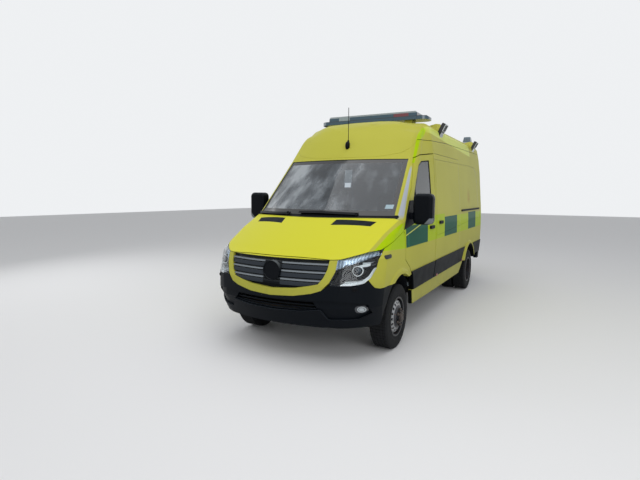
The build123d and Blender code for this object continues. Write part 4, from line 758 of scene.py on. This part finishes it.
def on_both_sides(pieces):
    """Pieces joined into one on the left, and its mirrored copy on the right."""
    take(pieces[0])
    for piece in pieces:
        piece.select_set(True)
    if len(pieces) > 1:
        bpy.ops.object.join()
    return ("left", pieces[0]), ("right", twin(pieces[0], MIRROR))


# %% Helpers that finish and place
def finish_piece(piece, name, body, finish, angle=35.0, turn_faces=True):
    """Puts a piece's place into its mesh and gives it a name, a finish and a body."""
    take(piece)
    bpy.ops.object.transform_apply(location=True, rotation=True, scale=True)
    if turn_faces:
        opened(piece)
        bpy.ops.mesh.normals_make_consistent(inside=False)
        bpy.ops.object.mode_set(mode="OBJECT")
    bpy.ops.object.shade_smooth_by_angle(angle=math.radians(angle))
    piece.name = piece.data.name = name
    piece.data.materials.clear()
    piece.data.materials.append(finish)
    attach(piece, body)
    print(name, "on", body, "with", len(piece.data.polygons), "faces")


def finish_pair(pieces, name, body, finish, replaced=None):
    """Finishes joined pieces and their mirrored copy; * in a name stands for left or right."""
    for side, piece in on_both_sides(pieces):
        finish_piece(piece, name.replace("*", side), body.replace("*", side), finish)
        if replaced:
            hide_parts(replaced.replace("*", side))


def skin_at(node, start, way):
    """Where a ray meets a CAD node, as a matrix that stands a piece on the surface there."""
    found, place, normal, _ = nodes[node].ray_cast(Vector(start), Vector(way))
    print(node, "met at", tuple(round(v, 3) for v in place) if found else "nothing")
    if not found:
        return None
    return Matrix.Translation(place) @ normal.to_track_quat("Z", "Y").to_matrix().to_4x4()


def merged_copy(node, name):
    """A copy of a CAD node, open in edit mode, its loose triangles merged."""
    made = bpy.data.objects.new(name, nodes[node].data.copy())
    scene.collection.objects.link(made)
    opened(made)
    bpy.ops.mesh.remove_doubles(threshold=0.0001)
    return made


# %% [markdown]
# A tyre's tread is rows of blocks cut by grooves, and its wall bulges out and back to the bead. A
# drum is cut into five ribs, each of its faces is inset and raised into a block, and its ends are
# pushed out and narrowed step by step to make the walls, with a ring moulded on each. Spun from a
# drawn profile, it would need its blocks cut in afterwards.

# %% Tyres
TREAD_DEPTH = 0.008
TREAD_HALF = 0.086
GROOVE_HALF = 0.0025
BLOCKS_ROUND = 60
RIB_EDGES = (-0.052, -0.018, 0.018, 0.052)
TYRE_WALL = ((0.093, 0.33), (0.0975, 0.313), (0.1, 0.285), (0.1002, 0.264), (0.1016, 0.2625),
             (0.1016, 0.256), (0.0998, 0.2545), (0.096, 0.23), (0.088, 0.214), (0.078, 0.2035))
FRONT_WHEEL_X = 0.855
TWIN_WHEELS_X = (0.888, 0.662)


def is_end(middle, normal):
    """Whether a face closes an end of the tyre's drum, in its middle."""
    return abs(normal.x) > 0.9 and abs(middle.y) + abs(middle.z) < 0.02


def make_tyre(x, station):
    """A tyre with raised tread blocks and bulged walls."""
    centre = Vector((x, at(station), TYRE_RADIUS))
    tyre = drum(BLOCKS_ROUND, TYRE_RADIUS - TREAD_DEPTH, 2 * TREAD_HALF, centre, ACROSS)
    opened(tyre)
    for edge in RIB_EDGES:
        bpy.ops.mesh.select_all(action="SELECT")
        bpy.ops.mesh.bisect(plane_co=centre + Vector((edge, 0.0, 0.0)), plane_no=(1.0, 0.0, 0.0))
    pick(lambda middle, normal: abs(normal.x) < 0.5)
    bpy.ops.mesh.inset(use_individual=True, thickness=GROOVE_HALF, depth=TREAD_DEPTH)
    for side in (-1, 1):
        half, radius = TREAD_HALF, TYRE_RADIUS - TREAD_DEPTH
        pick(lambda middle, normal: is_end(middle, normal) and normal.x * side > 0.0)
        for next_half, next_radius in TYRE_WALL:
            drawn((side * (next_half - half), 0.0, 0.0))
            scale = next_radius / radius
            bpy.ops.transform.resize(value=(1.0, scale, scale),
                                     center_override=centre + Vector((side * next_half, 0.0, 0.0)))
            half, radius = next_half, next_radius
    pick(is_end)
    bpy.ops.mesh.delete(type="ONLY_FACE")
    bpy.ops.mesh.select_mode(type="EDGE")
    bpy.ops.mesh.select_non_manifold()
    bpy.ops.mesh.bridge_edge_loops()
    bpy.ops.object.mode_set(mode="OBJECT")
    return tyre


finish_pair([make_tyre(FRONT_WHEEL_X, 0.0)],
            "front_tyre_*_tread", "front_wheel_*", rubber, "front_tyre_*")
finish_pair([make_tyre(x, WHEELBASE) for x in TWIN_WHEELS_X],
            "rear_tyres_*_tread", "rear_wheel_*", rubber, "rear_tyres_*")

# %% [markdown]
# Six nuts hold each wheel, and a pressed cap closes the hub. One nut is made from a
# six-sided bar with its end face drawn out into a stud and its edges eased, and is copied round.

# %% Wheel nuts and hub caps
NUT_CIRCLE = 0.083
NUTS = 6

fitting_steel, where = new_finish("oiled_dark_steel", {"Metallic": 0.8})
cloud = noise_on(where, 0.02, 4.0)
wear(fitting_steel, {"Base Color": laid_over("3A3C41", ("5D5147", cloud)),
                     "Roughness": weighed(0.38, (cloud, 0.25))})


def wheel_fittings(axle, face_x, hub_x, station):
    """Nuts on a wheel's mounting face and the cap on its hub, on both sides."""
    centre = Vector((0.0, at(station), TYRE_RADIUS))
    nut = drum(6, 0.0165, 0.018, centre + Vector((face_x + 0.0085, 0.0, NUT_CIRCLE)), ACROSS)
    stepped(nut, lambda middle, normal: normal.x > 0.9, (0.006, (0.009, 0.0, 0.0)))
    rounded(nut, 0.0012, 1)
    cap = drum(40, 0.056, 0.016, centre + Vector((hub_x + 0.0075, 0.0, 0.0)), ACROSS)
    stepped(cap, lambda middle, normal: normal.x > 0.9, (0.014, (0.010, 0.0, 0.0)),
            (0.010, (-0.003, 0.0, 0.0)))
    rounded(cap, 0.003, 2)
    turns = [Matrix.Rotation(math.tau * k / NUTS, 4, "X") for k in range(1, NUTS)]
    nuts = [twin(nut, Matrix.Translation(centre) @ turn @ Matrix.Translation(-centre)) for turn in turns]
    finish_pair([nut, *nuts, cap], f"{axle}_wheel_*_nuts", f"{axle}_wheel_*", fitting_steel)


wheel_fittings("front", 0.968, 0.982, 0.0)
wheel_fittings("rear", 0.775, 0.845, WHEELBASE)

# %% [markdown]
# Red reflectors sit at the foot of the side moulding. Each is an acrylic tablet with an eased edge
# and a prism field, which is a pattern of 3 mm, inside a plain rim.

# %% Side reflectors
REFLECTOR_STATIONS = (1.402, 3.02)
REFLECTOR_HEIGHT = 0.592

red, where = new_finish("red_acrylic_reflector", {"Roughness": 0.12, "Coat Weight": 0.5})
prisms = add_node("TexChecker", {"Vector": where, "Scale": 330.0}).outputs["Fac"]
wear(red, {"Base Color": laid_over("7A0E12", ("B0222A", prisms)), "Normal": bumped(prisms, 0.0004, 0.6)})
trim_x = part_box("side_trim")[1][0]
for number, station in enumerate(REFLECTOR_STATIONS, 1):
    tablet = block((0.008, 0.052, 0.026), (trim_x, at(station), REFLECTOR_HEIGHT))
    rounded(tablet, 0.0025, 2)
    opened(tablet)
    pick(lambda middle, normal: normal.x > 0.95 and abs(middle.y) < 0.01)
    bpy.ops.mesh.inset(thickness=0.002, depth=-0.0008)
    finish_pair([tablet], f"side_reflector_*_{number}", "body", red)

# %% [markdown]
# The nozzles of the headlight washers are small domed covers in the bumper, under each lamp. A ray
# finds the bumper's skin, so that each cover sits on it and faces the way that it faces.

# %% Headlight washer covers
WASHER_PLACE = (0.803, 0.767)       # half width and height

skin = skin_at("front_bumper", (WASHER_PLACE[0], -3.4, WASHER_PLACE[1]), (0.0, 1.0, 0.0))
if skin:
    cover = drum(32, 0.021, 0.012, (0.0, 0.0, 0.0))
    stepped(cover, lambda middle, normal: normal.z > 0.9, (0.009, (0.0, 0.0, 0.006)))
    rounded(cover, 0.0025, 3)
    cover.matrix_world = skin @ Matrix.Diagonal((1.35, 1.0, 1.0, 1.0))
    finish_pair([cover], "washer_cover_*", "body", black_nylon)

# %% [markdown]
# Behind the windscreen, left of its middle, hangs a pale box for the rain sensor, held on the glass
# by a foot. Its corners are soft, as on any moulded housing.

# %% Sensor box on the windscreen
SENSOR_PLACE = (0.187, 1.828)       # half width and height of its middle

skin = skin_at("windscreen", (SENSOR_PLACE[0], -1.0, SENSOR_PLACE[1]), (0.0, -1.0, 0.0))
if skin:
    housing = block((0.10, 0.21, 0.034), (0.0, 0.0, 0.024))
    stepped(housing, lambda middle, normal: normal.z < -0.9, (0.022, (0.0, 0.0, -0.006)))
    stepped(housing, lambda middle, normal: normal.z > 0.9, (0.018, (0.0, 0.0, 0.008)))
    rounded(housing, 0.006, 3)
    housing.matrix_world = skin @ housing.matrix_world
    pale_abs = moulded("pale_abs_housing", "8FA3AC", "C9D3D6", 0.45)[0]
    finish_piece(housing, "sensor_box", "body", pale_abs)

# %% [markdown]
# The antenna's whip grows from a rubber pod on the brow of the cap. The pod is half a ball, cut flat,
# with a thin gasket drawn out under it, and it is stretched along the slope that it lies on.

# %% Antenna pod
skin = skin_at("roof", (0.020, at(0.30), 2.252), (0.0, 1.0, 0.0))
if skin:
    fresh()
    bpy.ops.mesh.primitive_uv_sphere_add(segments=32, ring_count=16, radius=0.045)
    pod = bpy.context.object
    opened(pod)
    bpy.ops.mesh.bisect(plane_co=(0.0, 0.0, 0.0), plane_no=(0.0, 0.0, 1.0), clear_inner=True, use_fill=True)
    pick(lambda middle, normal: normal.z < -0.9)
    drawn((0.0, 0.0, -0.006))
    bpy.ops.transform.resize(value=(1.08, 1.08, 1.0), center_override=(0.0, 0.0, -0.006))
    fresh()
    pod.matrix_world = skin @ Matrix.Diagonal((0.62, 1.15, 0.75, 1.0))
    finish_piece(pod, "antenna_pod", "body", black_nylon)

# %% [markdown]
# Each rear door hangs on three hinges. A hinge is a barrel on the body's corner post, with its pin's
# heads showing, and a strap that is screwed to the door and so swings with it.

# %% Rear door hinges
HINGE_AXIS = (0.787, 2.870)         # half width and length of the doors' swing axes
HINGE_HEIGHTS = (0.78, 1.45, 2.12)
LEAF_Y = 2.8585                     # middle of the brackets and straps, which are 5 mm thick
SCREW_PLACES = [(x, lift) for x in (0.710, 0.742) for lift in (-0.016, 0.016)]

hinge_steel = moulded("painted_hinge_steel", "8F8D38", "A8A641", 0.45)[0]
for number, z in enumerate(HINGE_HEIGHTS, 1):
    barrel = drum(24, 0.0105, 0.094, (*HINGE_AXIS, z))
    opened(barrel)
    pick(lambda middle, normal: abs(normal.z) > 0.9)
    bpy.ops.mesh.inset(thickness=0.004)
    bpy.ops.mesh.extrude_region_shrink_fatten(TRANSFORM_OT_shrink_fatten={"value": 0.005})
    rounded(barrel, 0.001, 1)
    fresh()
    bpy.ops.mesh.primitive_cube_add(size=1.0, location=(0.826, LEAF_Y, z), scale=(0.060, 0.005, 0.074))
    bracket = bpy.context.object
    rounded(bracket, 0.0015, 1)
    finish_pair([barrel, bracket], f"rear_hinge_*_{number}_barrel", "body", hinge_steel)
    strap = block((0.084, 0.005, 0.060), (0.735, LEAF_Y, z))
    rounded(strap, 0.0015, 1)
    screws = [drum(16, 0.0055, 0.004, (x, LEAF_Y + 0.004, z + lift), ALONG) for x, lift in SCREW_PLACES]
    finish_pair([strap, *screws], f"rear_hinge_*_{number}_strap", "rear_door_*", hinge_steel)

# %% [markdown]
# The roof's front corners are rounder on the van than where the side view and the front view of the
# solid meet. The roof is copied, its triangles are merged and cut into a grid where it has to bend,
# and its corners are then pushed back and down, most at the corner itself and less and less around
# it. Proportional editing does this by hand; written out, its fading can be held off the joints.

# %% A grid of cuts in a copy of the roof
CORNER_WIDTHS = (0.38, 0.82)        # half widths over which the corner turns
CORNER_HEIGHTS = (2.40, 2.58)
CORNER_STATIONS = (1.00, 1.44)      # whole at the first, nothing at the second
GRID = 0.04
GRID_CUTS = (       # axis, first place and number of cuts, on one side or both
    ((1.0, 0.0, 0.0), CORNER_WIDTHS[0], 12, (-1, 1)),
    ((0.0, 1.0, 0.0), at(0.62), 21, (1,)),
    ((0.0, 0.0, 1.0), CORNER_HEIGHTS[0], 8, (1,)))

roof = merged_copy("roof", "roof_rounded")
for axis, start, count, ways in GRID_CUTS:
    for place in [way * (start + GRID * k) for way in ways for k in range(count)]:
        bpy.ops.mesh.select_all(action="SELECT")
        bpy.ops.mesh.bisect(plane_co=Vector(axis) * place, plane_no=axis)
bpy.ops.mesh.select_all(action="SELECT")
bpy.ops.mesh.dissolve_degenerate(threshold=0.002)
bpy.ops.mesh.select_mode(type="VERT")
bpy.ops.mesh.select_all(action="DESELECT")
bpy.ops.object.mode_set(mode="OBJECT")
print("roof cut into", len(roof.data.polygons), "faces")

# %% Rounded corners of the roof
CORNER_MOVE = Vector((0.0, 0.03, -0.10))        # how far the corner itself is pushed


def eased(value, start, end):
    """Rises from 0 to 1 between two values, slowly at both."""
    share = min(max((value - start) / (end - start), 0.0), 1.0)
    return share * share * (3.0 - 2.0 * share)


for vertex in roof.data.vertices:
    x, y, z = vertex.co
    share = eased(abs(x), *CORNER_WIDTHS) * eased(z, *CORNER_HEIGHTS)
    share *= 1.0 - eased(y, at(CORNER_STATIONS[0]), at(CORNER_STATIONS[1]))
    vertex.co += CORNER_MOVE * share
    vertex.select = abs(x) > CORNER_WIDTHS[0] - GRID and z > CORNER_HEIGHTS[0] - GRID and y < at(1.40)
take(roof)
bpy.ops.object.mode_set(mode="EDIT")
bpy.ops.mesh.select_mode(type="VERT")
bpy.ops.mesh.vertices_smooth(factor=0.5, repeat=14)
finish_piece(roof, "roof_rounded", "body", body_paint, 28.0, False)

# %% [markdown]
# The cuts leave thin triangles, whose shading would show as spots. The rim under the roof is marked
# sharp, and normals that are weighted by the size of the faces even out the rest.

# %% Even shading on the roof
opened(roof)
pick(lambda middle, normal: normal.z < -0.75)
bpy.ops.mesh.region_to_loop()
bpy.ops.mesh.mark_sharp()
take(roof)
even = roof.modifiers.new("even shading over thin triangles", "WEIGHTED_NORMAL")
even.weight, even.keep_sharp = 50, True
bpy.ops.object.modifier_apply(modifier=even.name)
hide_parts("roof")
print("roof_rounded takes the roof's place")

# %% [markdown]
# The roof's front cap is bonded to the cab, and its joint is filled and sprayed over, so no line runs
# across the brow. The filler is made from the cap's own lower rim: those faces are copied and drawn
# down through the joint, and the result is closed.

# %% Filled joint under the roof cap
JOINT = 0.0058
JOINT_END = at(0.955)
SEAM_LINE = ((-1.4, 2.100), (0.60, 2.100), (0.72, 2.150), (0.96, 2.325))    # station and height


def in_seam(middle, normal):
    """Whether a face looks down into the joint and lies on the joint's line."""
    if normal.z >= -0.30 or middle.y >= JOINT_END or middle.z >= 2.326 or abs(normal.x) >= 0.2:
        return False
    for (s0, z0), (s1, z1) in zip(SEAM_LINE, SEAM_LINE[1:]):
        if at(s0) - 0.001 <= middle.y <= at(s1) + 0.001:
            line = z0 + (z1 - z0) * (middle.y - at(s0)) / (s1 - s0)
            return abs(middle.z - line) < 0.003
    return False


filler = merged_copy("roof", "filler")
pick(lambda middle, normal: not in_seam(middle, normal))
bpy.ops.mesh.delete(type="FACE")
bpy.ops.mesh.select_all(action="SELECT")
drawn((0.0, 0.0, -JOINT))
finish_piece(filler, "roof_joint_filler", "body", body_paint)

# %% [markdown]
# The last cell counts the CAD model's nodes. The finished model's box has to stay inside
# the CAD model's box.

# %% Node count
print("sizes written for", len(nodes), "nodes")
